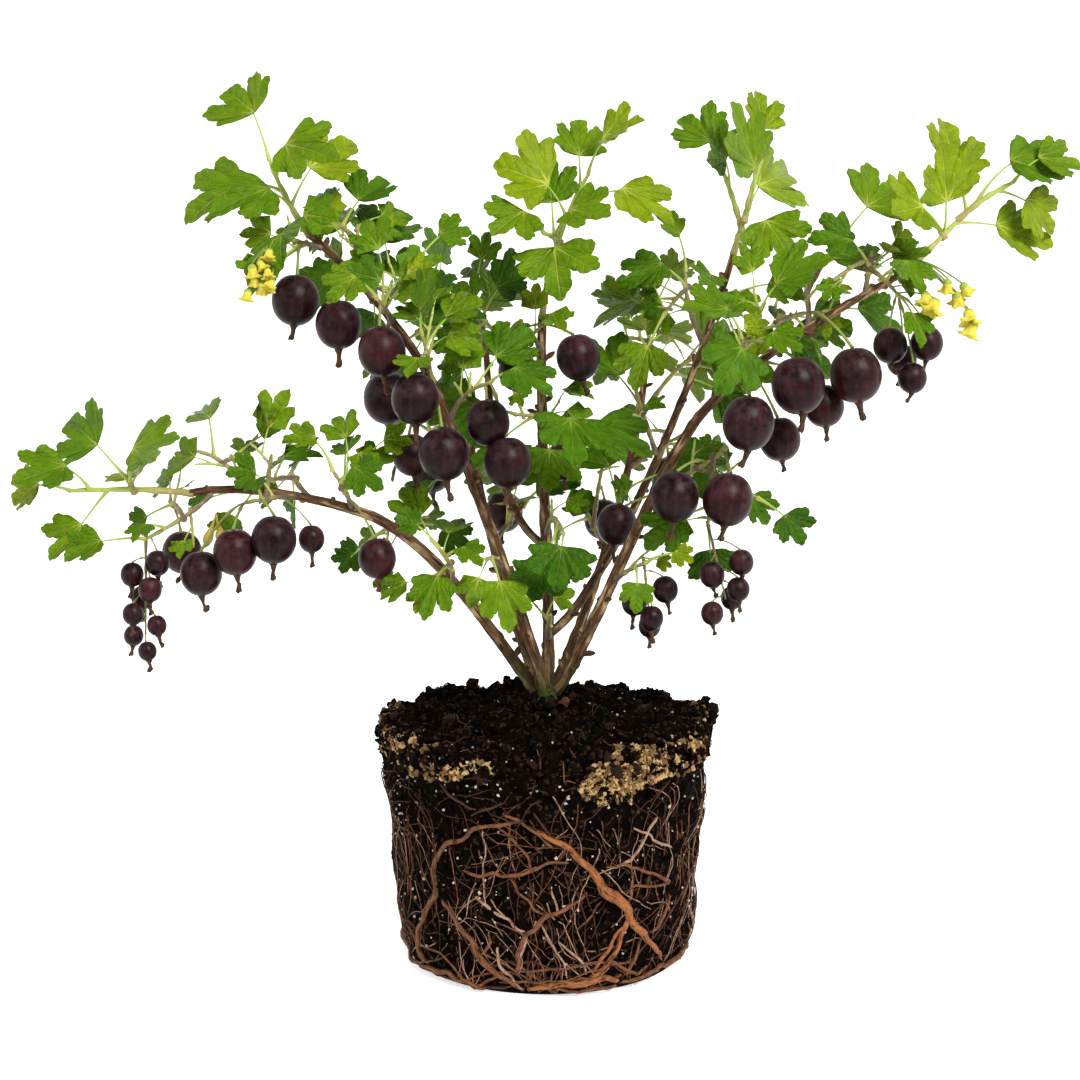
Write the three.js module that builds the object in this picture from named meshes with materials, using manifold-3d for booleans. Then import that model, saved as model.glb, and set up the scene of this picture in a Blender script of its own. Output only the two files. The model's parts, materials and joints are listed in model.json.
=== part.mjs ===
// A young gooseberry bush on its bare root ball, in fruit.
// Millimetres, +Z up. The origin is the middle of the root ball's flat underside. +X runs along
// the bush's widest spread, and -Y is its front.

import * as THREE from "three";
import { mergeVertices } from "three/addons/utils/BufferGeometryUtils.js";
import Module from "manifold-3d";

const wasm = await Module();
wasm.setup();

// --- Root ball and stool ---
const BALL_HEIGHT = 115; // flat underside to rim
const BALL_RIM_RADIUS = 81;
const BALL_FOOT_RADIUS = 70;
const BALL_MOUND = 10; // rise of the soil from the rim to the stool
const BALL_SIDES = 28;
const BALL_LUMP = 1.4; // how far the moulded side strays from round
const ROOT_SIDES = 4;
const ROOT_STEP = 15; // length of one straight stretch of a thick root
const ROOT_PROUD = 0.45; // how far its axis stands out of the ball, in its radii
const ROOT_DIVE = 2.4; // how deep its two ends go in, in its radii
const STOOL_RADIUS = 11; // the woody crown that every stem springs from
const STOOL_SIDES = 14;
const STOOL_CENTRE = new THREE.Vector3(0, 0, BALL_HEIGHT + BALL_MOUND + 1);

// --- Wood ---
const GAP = 0.35; // between neighbouring solids
const BOUGH_SIDES = 6;
const BOUGH_STEP = 18; // length of one straight stretch of a bough
const LEAN_AT_TIP = 0.6; // how far a limb on another's end turns to its own side
const LEAN_AT_SIDE = 0.7; // how far a limb on another's side first runs along it
const TWIG_FOOT_RADIUS = 1.5;
const TWIG_TIP_RADIUS = 0.95;
const TWIG_SIDES = 3;
const TWIG_STEPS = 2;
const TWIG_LEAD = 0.45; // how far a twig keeps its first direction, as a share of its length
const TWIG_ARCH = 0.1; // rise at the middle of a twig, as a share of its length
const FORK_FIRST = 0.5; // where the first side twig leaves its stem, as a share of its length
const FORK_STEP = 0.25;

// --- Leaves ---
const PETIOLE_RADIUS = 0.8; // at the blade
const PETIOLE_TAPER = 0.5; // its foot in the twig, as a share of that
const PETIOLE_KEEL = 1.3; // its depth under the blade, in its radii
const PETIOLE_LENGTH = [0.44, 0.66]; // as a share of the blade's width
const BLADE_THICKNESS = 1.5; // at the middle, down to an edge at the rim
const BLADE_SIZE = [0.95, 1.15]; // of the width in the plan
const BLADE_LOBES = 5;
const BLADE_LOBE_DEPTH = 0.13;
const BLADE_FOLD = [0.1, 0.45]; // slope of the two halves up from the rib
const BLADE_CURL = 0.35; // how far the tip turns down, as a share of the fold
const LEAF_SPACING = 8; // between leaves along a twig, back from its tip
const LEAF_LOWEST = 0.3; // no leaf springs nearer to the foot, as a share of the length
const END_SPREAD = 0.25; // angle between the end leaf and its twig, radians
const SIDE_SPREAD = 1.05; // and for the others
const LEAF_LIFT = 0.25; // how far petioles turn up to the light
const RIB_DROOP = [0.2, 0.9]; // how far the blade hangs from its petiole
const LIGHT_BACK = 70; // blades face away from an upright line this far behind the stool
const LIGHT_SPREAD = 0.2; // and less to the sides than to the front
const LIGHT_RISE = [0.45, 1.05];
const LIGHT_STRAY = [-0.45, 0.45];
const BLADE_TURN = 0.65; // how far a blade turns square to its light
const GOLDEN_TURN = 2.39996; // from one leaf or berry round its twig to the next
const RETRY_TURN = 0.9;
const LEAF_TRIES = 6;

// --- Fruit ---
const FRUIT_STRETCH = 1.08; // a berry is slightly longer than wide
const CALYX_LENGTH = 0.25; // dried flower under the berry, as a share of its radius
const CLUSTER_STEP = 0.95; // drop from one berry of a cluster to the next, in berry radii
const CLUSTER_REACH = [1.05, 1.15]; // from the stalk to the berry's middle, in berry radii
const CLUSTER_SIZE = [0.9, 1];
const CLUSTER_TAPER = 0.035; // each berry is smaller than the one above by this share
const SMALL_FRUIT = 7; // radius up to which a berry has fewer faces
const STALK_RADIUS = 0.8; // at the berry, down to a point in the twig
const STALK_SINK = 1.2; // how far that point lies past the twig's middle
const STALK_RISE = 2; // least height of the stalk's foot over the berry
const HOLD_STEPS = 20; // places looked at along a twig for that foot
const HOLD_FALL = 10; // what a foot too low costs against one too far away
const CLUSTER_STALK_RADIUS = 1.04; // of the stalk down a cluster, at its top

// --- Room ---
const CLEAR = 0.6; // added round limbs, twigs and fruit in the clearance test
const CLEAR_STEP = 4; // between the balls that stand for a limb or twig
const LEAF_ROOM = 0.3; // kept clear all over a blade, as a share of its radius
const OWN_ROOM = 0.45; // of that, between leaves of one mass
const CROWN = new THREE.Box3(new THREE.Vector3(-262, -100, 134), new THREE.Vector3(256, 136, 437));
const FIRST_SEED = 101;
const SEED_STEP = 37;

const UP = new THREE.Vector3(0, 0, 1);
const FRONT = new THREE.Vector3(0, -1, 0);
const vector = (values) => new THREE.Vector3(...values);

/** Park and Miller's generator: the same numbers between 0 and 1 from the same seed. */
function seeded(seed) {
  let state = seed;
  return () => {
    state = (state * 16807) % 2147483647;
    return state / 2147483647;
  };
}

/** A number picked between two. */
function between([low, high], random) {
  return low + (high - low) * random();
}

// --- Solids ---

/** A closed geometry as a solid, on its positions alone. */
function solid(geometry) {
  geometry.deleteAttribute("normal");
  geometry.deleteAttribute("uv");
  const merged = mergeVertices(geometry, 1e-4);
  return new wasm.Manifold(
    new wasm.Mesh({
      numProp: 3,
      vertProperties: new Float32Array(merged.attributes.position.array),
      triVerts: new Uint32Array(merged.index.array),
    }),
  );
}

/** A solid as a mesh, with flat faces. */
function meshOf(name, body, material) {
  const faces = body.getMesh();
  const geometry = new THREE.BufferGeometry();
  geometry.setAttribute("position", new THREE.BufferAttribute(faces.vertProperties, 3));
  geometry.setIndex(new THREE.BufferAttribute(faces.triVerts, 1));
  geometry.computeVertexNormals();
  const mesh = new THREE.Mesh(geometry, material);
  mesh.name = name;
  return mesh;
}

/** Moves every vertex of a geometry by a rule. */
function reshape(geometry, rule) {
  const positions = geometry.attributes.position;
  const point = new THREE.Vector3();
  for (let i = 0; i < positions.count; i += 1) {
    rule(point.fromBufferAttribute(positions, i));
    positions.setXYZ(i, point.x, point.y, point.z);
  }
  return geometry;
}

/** A curve followed in straight stretches, as the faceted limb along it is. */
class StraightRuns extends THREE.Curve {
  constructor(curve, steps) {
    super();
    this.curve = curve;
    this.steps = steps;
    this.nodes = curve.getPoints(steps);
  }

  getPoint(t, target = new THREE.Vector3()) {
    const run = Math.min(Math.floor(t * this.steps), this.steps - 1);
    return target.lerpVectors(this.nodes[run], this.nodes[run + 1], t * this.steps - run);
  }

  getTangent(t) {
    return this.curve.getTangent(t);
  }
}

/** The two directions square to a limb and to each other that its section is drawn on. */
function section(curve, t) {
  const reference = Math.abs(curve.getTangent(0.5).y) > 0.8 ? UP : FRONT;
  const along = curve.getTangent(t);
  const across = new THREE.Vector3().crossVectors(reference, along).normalize();
  const out = new THREE.Vector3().crossVectors(across, along);
  return { across, out };
}

/** A cylinder bent along straight runs, its radius running evenly from foot to tip. */
function limb(curve, footRadius, tipRadius, sides) {
  const geometry = new THREE.CylinderGeometry(1, 1, 1, sides, curve.steps);
  return reshape(geometry, (point) => {
    const t = point.y + 0.5;
    const { across, out } = section(curve, t);
    const radius = THREE.MathUtils.lerp(footRadius, tipRadius, t);
    const axis = curve.getPoint(t);
    point.set(
      axis.x + radius * (point.x * across.x + point.z * out.x),
      axis.y + radius * (point.x * across.y + point.z * out.y),
      axis.z + radius * (point.x * across.z + point.z * out.z),
    );
  });
}

// --- Root ball ---

/** Radius of the root ball's side at a height: it flares from foot to rim. */
function ballRadius(height) {
  return THREE.MathUtils.lerp(BALL_FOOT_RADIUS, BALL_RIM_RADIUS, Math.min(height / BALL_HEIGHT, 1));
}

/** The root ball: turned from its profile, then lumpy where the roots press outwards. */
function rootBall() {
  const top = BALL_HEIGHT + BALL_MOUND;
  const profile = [
    [0, 0],
    [ballRadius(0) - 5, 0],
    [ballRadius(5), 5],
    [ballRadius(34), 34],
    [ballRadius(64), 64],
    [ballRadius(92), 92],
    [BALL_RIM_RADIUS, BALL_HEIGHT - 4],
    [BALL_RIM_RADIUS - 6, BALL_HEIGHT + 1],
    [BALL_RIM_RADIUS * 0.62, top - 4],
    [STOOL_RADIUS + 5, top],
    [0, top],
  ];
  const turned = new THREE.LatheGeometry(
    profile.map(([radius, height]) => new THREE.Vector2(radius, height)),
    BALL_SIDES,
  );
  turned.rotateX(Math.PI / 2);
  const lumpy = reshape(turned, (point) => {
    const radius = Math.hypot(point.x, point.y);
    if (point.z < 1 || radius < STOOL_RADIUS + 8) return;
    const angle = Math.atan2(point.y, point.x);
    const lump = Math.sin(5 * angle + point.z / 9) + 0.7 * Math.sin(11 * angle - point.z / 6);
    const swell = 1 + (BALL_LUMP * lump) / radius;
    point.set(point.x * swell, point.y * swell, point.z);
  });
  return solid(lumpy);
}

/** The thick roots that run over the ball: angle in degrees and height at each end, radius. */
const THICK_ROOTS = [
  { from: [273, 76], to: [318, 9], radius: 3.0 },
  { from: [232, 73], to: [220, 14], radius: 2.4 },
  { from: [229, 45], to: [262, 6], radius: 2.1 },
  { from: [262, 6], to: [297, 7], radius: 2.5 },
  { from: [298, 38], to: [284, 9], radius: 2.1 },
  { from: [20, 74], to: [52, 12], radius: 2.6 },
  { from: [100, 66], to: [78, 14], radius: 2.4 },
  { from: [168, 50], to: [128, 9], radius: 2.8 },
];

/** A root half sunk in the ball's side, on a helix between two ends that dive into the soil. */
function thickRoot({ from, to, radius }) {
  const points = [0, 0.25, 0.5, 0.75, 1].map((t) => {
    const angle = THREE.MathUtils.degToRad(THREE.MathUtils.lerp(from[0], to[0], t));
    const height = THREE.MathUtils.lerp(from[1], to[1], t);
    const dive = ROOT_DIVE * (2 * t - 1) ** 8;
    const reach = ballRadius(height) + radius * (ROOT_PROUD - dive);
    return new THREE.Vector3(reach * Math.cos(angle), reach * Math.sin(angle), height);
  });
  const steps = Math.round(points[0].distanceTo(points[4]) / ROOT_STEP);
  const curve = new StraightRuns(new THREE.CatmullRomCurve3(points), steps);
  return solid(limb(curve, radius, radius * 0.7, ROOT_SIDES));
}

/** The stool: a dome of old wood on the mound, with a flared foot. */
function stool() {
  const foot = BALL_HEIGHT + BALL_MOUND + GAP;
  const profile = [new THREE.Vector2(0, foot), new THREE.Vector2(STOOL_RADIUS + 1.5, foot)];
  for (const tilt of [8, 30, 52, 72]) {
    const angle = THREE.MathUtils.degToRad(tilt);
    profile.push(
      new THREE.Vector2(
        STOOL_RADIUS * Math.cos(angle),
        STOOL_CENTRE.z + STOOL_RADIUS * Math.sin(angle),
      ),
    );
  }
  profile.push(new THREE.Vector2(0, STOOL_CENTRE.z + STOOL_RADIUS));
  const turned = new THREE.LatheGeometry(profile, STOOL_SIDES);
  return solid(turned.rotateX(Math.PI / 2));
}

// --- Boughs ---

/** Foot of a stem on the stool, facing out at an azimuth and an elevation in degrees. */
function onStool(azimuth, elevation) {
  const across = THREE.MathUtils.degToRad(azimuth);
  const rise = THREE.MathUtils.degToRad(elevation);
  const direction = new THREE.Vector3(
    Math.cos(rise) * Math.cos(across),
    Math.cos(rise) * Math.sin(across),
    Math.sin(rise),
  );
  const point = STOOL_CENTRE.clone().addScaledVector(direction, STOOL_RADIUS + GAP);
  return { point, direction };
}

/** How far the flat side of a bough lies from its axis, in a direction square to it. */
function sideReach({ curve, foot, tip }, share, towards) {
  const { across, out } = section(curve, share);
  const facet = (2 * Math.PI) / BOUGH_SIDES;
  const angle = Math.atan2(towards.dot(across), towards.dot(out));
  const fromMiddle = THREE.MathUtils.euclideanModulo(angle, facet) - facet / 2;
  const radius = THREE.MathUtils.lerp(foot, tip, share);
  return (radius * Math.cos(facet / 2)) / Math.cos(fromMiddle);
}

/**
 * Foot of a limb on another one: just clear of its side at a share of its length, or of its end,
 * leaving towards a direction.
 */
function onBough(bough, share, towards, radius) {
  const along = bough.curve.getTangent(share);
  const axis = bough.curve.getPoint(share);
  if (share === 1) {
    const direction = along.clone().addScaledVector(towards, LEAN_AT_TIP).normalize();
    const tilt = Math.sqrt(Math.max(0, 1 - direction.dot(along) ** 2));
    return { point: axis.addScaledVector(along, GAP + radius * tilt), direction };
  }
  const out = towards.clone().addScaledVector(along, -towards.dot(along)).normalize();
  const direction = out.clone().addScaledVector(along, LEAN_AT_SIDE).normalize();
  const tilt = Math.sqrt(1 - direction.dot(out) ** 2);
  const side = sideReach(bough, share, out);
  return { point: axis.addScaledVector(out, side + GAP + radius * tilt), direction };
}

/**
 * Every bough: what it springs from, how far it runs straight on from there, the bend that it
 * passes under, its tip, and its radius at foot and tip.
 */
const BOUGH_PLAN = [
  { name: "low_left_bough", stool: [190, 50], lead: 20, bend: [-51, -30, 209],
    tip: [-83, -36, 222], radii: [3.0, 2.4] },
  { name: "low_left_arm", parent: "low_left_bough", at: 1, towards: [-1, 0, 0.3], lead: 24,
    bend: [-138, -43, 238], tip: [-165, -42, 233], radii: [2.3, 1.7] },
  { name: "upper_left_bough", stool: [255, 55], lead: 22, bend: [-34, -26, 238],
    tip: [-50, -28, 275], radii: [3.0, 2.4] },
  { name: "upper_left_arm", parent: "upper_left_bough", at: 1, towards: [-0.2, 0, 1], lead: 24,
    bend: [-88, -8, 332], tip: [-113, 0, 352], radii: [2.3, 1.6] },
  { name: "centre_stem", stool: [75, 78], lead: 40, bend: [-4, 18, 255],
    tip: [-2, 18, 312], radii: [2.9, 2.2] },
  { name: "right_bough", stool: [325, 48], lead: 22, bend: [45, -23, 226],
    tip: [69, -26, 264], radii: [3.0, 2.4] },
  { name: "right_arm", parent: "right_bough", at: 1, towards: [0.7, 0, 0.7], lead: 34,
    bend: [140, -8, 318], tip: [171, 0, 334], radii: [2.3, 1.6] },
  { name: "inner_right_bough", parent: "centre_stem", at: 0.17, towards: [0.8, 0.5, 0.4], lead: 36,
    bend: [74, 38, 277], tip: [92, 30, 344], radii: [2.3, 1.6] },
  { name: "inner_left_bough", parent: "centre_stem", at: 0.42, towards: [-0.8, 0.45, 0.3], lead: 30,
    bend: [-28, 26, 272], tip: [-30, 28, 300], radii: [2.0, 1.5] },
  { name: "rear_left_bough", stool: [125, 48], lead: 34, bend: [-42, 72, 240],
    tip: [-46, 90, 290], radii: [2.8, 1.7] },
  { name: "rear_right_bough", stool: [50, 48], lead: 34, bend: [48, 72, 236],
    tip: [52, 92, 284], radii: [2.6, 1.7] },
];

const boughs = {};
for (const plan of BOUGH_PLAN) {
  const [foot, tip] = plan.radii;
  const { point, direction } = plan.stool
    ? onStool(...plan.stool)
    : onBough(boughs[plan.parent], plan.at, vector(plan.towards).normalize(), foot);
  const bend = new THREE.CubicBezierCurve3(
    point,
    point.clone().addScaledVector(direction, plan.lead),
    vector(plan.bend),
    vector(plan.tip),
  );
  const curve = new StraightRuns(bend, Math.round(bend.getLength() / BOUGH_STEP));
  boughs[plan.name] = { curve, foot, tip };
}

// --- Room ---

/** Balls that stand for everything placed so far, each with its owner. */
const taken = [];

function claim(owner, kind, centre, radius) {
  taken.push({ owner, kind, centre, radius });
}

/** Whether balls at these centres are clear of all others, and inside the crown. */
function isClear(owner, centres, radius) {
  if (centres.some((centre) => !CROWN.containsPoint(centre))) return false;
  return taken.every((ball) => {
    if (ball.owner === owner && ball.kind === "wood") return true;
    const share = ball.owner === owner ? OWN_ROOM : 1;
    const ballShare = ball.kind === "leaf" ? share : 1;
    const room = share * radius + ballShare * ball.radius;
    return centres.every((centre) => centre.distanceTo(ball.centre) > room);
  });
}

/** Claims the room of a limb or twig. */
function claimLimb(owner, curve, footRadius, tipRadius) {
  const balls = Math.ceil(curve.getLength() / CLEAR_STEP);
  for (let i = 0; i <= balls; i += 1) {
    const radius = THREE.MathUtils.lerp(footRadius, tipRadius, i / balls);
    claim(owner, "wood", curve.getPoint(i / balls), radius + CLEAR);
  }
}

for (const [name, { curve, foot, tip }] of Object.entries(boughs)) {
  claimLimb(name, curve, foot, tip);
}

// --- Foliage ---

/** A twig arches from its foot to its tip. */
function twigCurve(foot, direction, tip) {
  const length = foot.distanceTo(tip);
  const middle = foot.clone().addScaledVector(direction, TWIG_LEAD * length);
  middle.z += TWIG_ARCH * length;
  return new StraightRuns(new THREE.QuadraticBezierCurve3(foot, middle, tip), TWIG_STEPS);
}

/** Which way a petiole leaves its twig: the end leaf goes on, the others stand round it. */
function petioleDirection(along, order, turn) {
  const side = new THREE.Vector3().crossVectors(along, UP);
  if (side.length() < 0.2) side.set(1, 0, 0);
  side.normalize();
  const over = new THREE.Vector3().crossVectors(side, along);
  const spread = order === 0 ? END_SPREAD : SIDE_SPREAD;
  const direction = along.clone().multiplyScalar(Math.cos(spread));
  direction.addScaledVector(side, Math.sin(spread) * Math.cos(turn));
  direction.addScaledVector(over, Math.sin(spread) * Math.sin(turn));
  direction.z += LEAF_LIFT;
  return direction.normalize();
}

/** The frame of one leaf: where its petiole starts, its blade's centre and its three axes. */
function leafPlace(start, direction, width, random) {
  const petiole = width * between(PETIOLE_LENGTH, random);
  const base = start.clone().addScaledVector(direction, petiole);
  const light = new THREE.Vector3(LIGHT_SPREAD * start.x, start.y - LIGHT_BACK, 0).normalize();
  light.x += between(LIGHT_STRAY, random);
  light.y += between(LIGHT_STRAY, random);
  light.z += between(LIGHT_RISE, random);
  light.normalize();
  const rib = direction.clone();
  rib.z -= between(RIB_DROOP, random);
  rib.addScaledVector(light, -BLADE_TURN * rib.dot(light)).normalize();
  const face = light.clone().addScaledVector(rib, -light.dot(rib)).normalize();
  const cross = new THREE.Vector3().crossVectors(rib, face);
  const radius = width / (2 * (1 + BLADE_LOBE_DEPTH));
  const centre = base.clone().addScaledVector(rib, radius * (1 - BLADE_LOBE_DEPTH));
  return { start, base, centre, rib, face, cross, radius, fold: between(BLADE_FOLD, random) };
}

/** Rim radius of the blade: five lobes, with the petiole in the notch at its base. */
function rimRadius(angle, radius) {
  return radius * (1 + BLADE_LOBE_DEPTH * Math.cos(BLADE_LOBES * angle));
}

/** How far the blade rises above its middle plane: folded up along the rib, tip curled down. */
function bladeRise(across, along, { fold, radius }) {
  return fold * (Math.abs(across) - (BLADE_CURL * along * Math.abs(along)) / radius);
}

/** A point of the blade from its place across and along the rib. */
function bladePoint(leaf, across, along, lift = 0) {
  return leaf.centre
    .clone()
    .addScaledVector(leaf.cross, across)
    .addScaledVector(leaf.rib, along)
    .addScaledVector(leaf.face, bladeRise(across, along, leaf) + lift);
}

/** Points spread over a blade, for the clearance test. */
function bladeBalls(leaf) {
  const points = [leaf.centre];
  for (const [ring, count] of [[0.45, 5], [0.9, 10]]) {
    for (let i = 0; i < count; i += 1) {
      const angle = (2 * Math.PI * i) / count;
      const reach = ring * rimRadius(angle, leaf.radius);
      points.push(bladePoint(leaf, reach * Math.sin(angle), reach * Math.cos(angle)));
    }
  }
  return points;
}

/**
 * A leaf on its petiole, as one solid: a lens between two middle points and a rim of lobes, with
 * a three-sided petiole let into the rim where the rib starts.
 */
function leafSolid(leaf) {
  const rim = [];
  const step = Math.PI / BLADE_LOBES;
  for (let i = 0; i < 2 * BLADE_LOBES; i += 1) {
    if (i === BLADE_LOBES) {
      rim.push(leaf.base.clone().addScaledVector(leaf.cross, PETIOLE_RADIUS));
      rim.push(leaf.base.clone().addScaledVector(leaf.cross, -PETIOLE_RADIUS));
    } else {
      const reach = rimRadius(i * step, leaf.radius);
      rim.push(bladePoint(leaf, reach * Math.sin(i * step), reach * Math.cos(i * step)));
    }
  }
  const points = [...rim];
  const add = (point) => points.push(point) - 1;
  const top = add(bladePoint(leaf, 0, 0, BLADE_THICKNESS / 2));
  const bottom = add(bladePoint(leaf, 0, 0, -BLADE_THICKNESS / 2));
  const [east, west] = [BLADE_LOBES, BLADE_LOBES + 1];
  const keel = add(leaf.base.clone().addScaledVector(leaf.face, -PETIOLE_KEEL * PETIOLE_RADIUS));
  const [eastFoot, westFoot, keelFoot] = [east, west, keel].map((end) =>
    add(points[end].clone().sub(leaf.base).multiplyScalar(PETIOLE_TAPER).add(leaf.start)),
  );
  const faces = [];
  for (let i = 0; i < rim.length; i += 1) {
    const next = (i + 1) % rim.length;
    faces.push(top, next, i);
    if (i !== east) faces.push(bottom, i, next);
  }
  faces.push(bottom, east, keel, bottom, keel, west);
  faces.push(east, west, westFoot, east, westFoot, eastFoot);
  faces.push(keel, east, eastFoot, keel, eastFoot, keelFoot);
  faces.push(west, keel, keelFoot, west, keelFoot, westFoot);
  faces.push(eastFoot, westFoot, keelFoot);
  const geometry = new THREE.BufferGeometry().setFromPoints(points);
  geometry.setIndex(faces);
  return solid(geometry);
}

/**
 * A berry on its stalk, as one solid turned from a sphere: the first ring is the neck, the pole
 * above it runs up to the stalk's foot, and the lowest point is the dried calyx.
 */
function berry([x, y, z, radius], foot) {
  const [sides, rings] = radius > SMALL_FRUIT ? [7, 5] : [5, 4];
  const ball = new THREE.SphereGeometry(1, sides, rings).rotateX(Math.PI / 2);
  const placed = reshape(ball, (point) => {
    const ring = Math.round((rings * Math.acos(THREE.MathUtils.clamp(point.z, -1, 1))) / Math.PI);
    const around = Math.atan2(point.y, point.x);
    const tilt = (Math.PI * (ring - 0.75)) / (rings - 0.75);
    const reach = ring === 1 ? STALK_RADIUS : radius * Math.sin(tilt);
    const calyx = ring === rings ? CALYX_LENGTH * radius : 0;
    const height = (ring === 1 ? radius : radius * Math.cos(tilt)) * FRUIT_STRETCH - calyx;
    point.set(x + reach * Math.cos(around), y + reach * Math.sin(around), z + height);
    if (ring === 0) point.copy(foot);
  });
  return solid(placed);
}

/** Small berries packed round a hanging stalk: its top, how many there are and their radius. */
function cluster([x, y, z], count, radius, random) {
  const rows = [];
  for (let i = 0; i < count; i += 1) {
    const turn = i * GOLDEN_TURN + random();
    const reach = radius * between(CLUSTER_REACH, random);
    const size = radius * (1 - CLUSTER_TAPER * i) * between(CLUSTER_SIZE, random);
    const drop = radius * (1 + CLUSTER_STEP * i);
    rows.push([x + reach * Math.cos(turn), y + reach * Math.sin(turn), z - drop, size]);
  }
  return rows;
}

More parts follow.
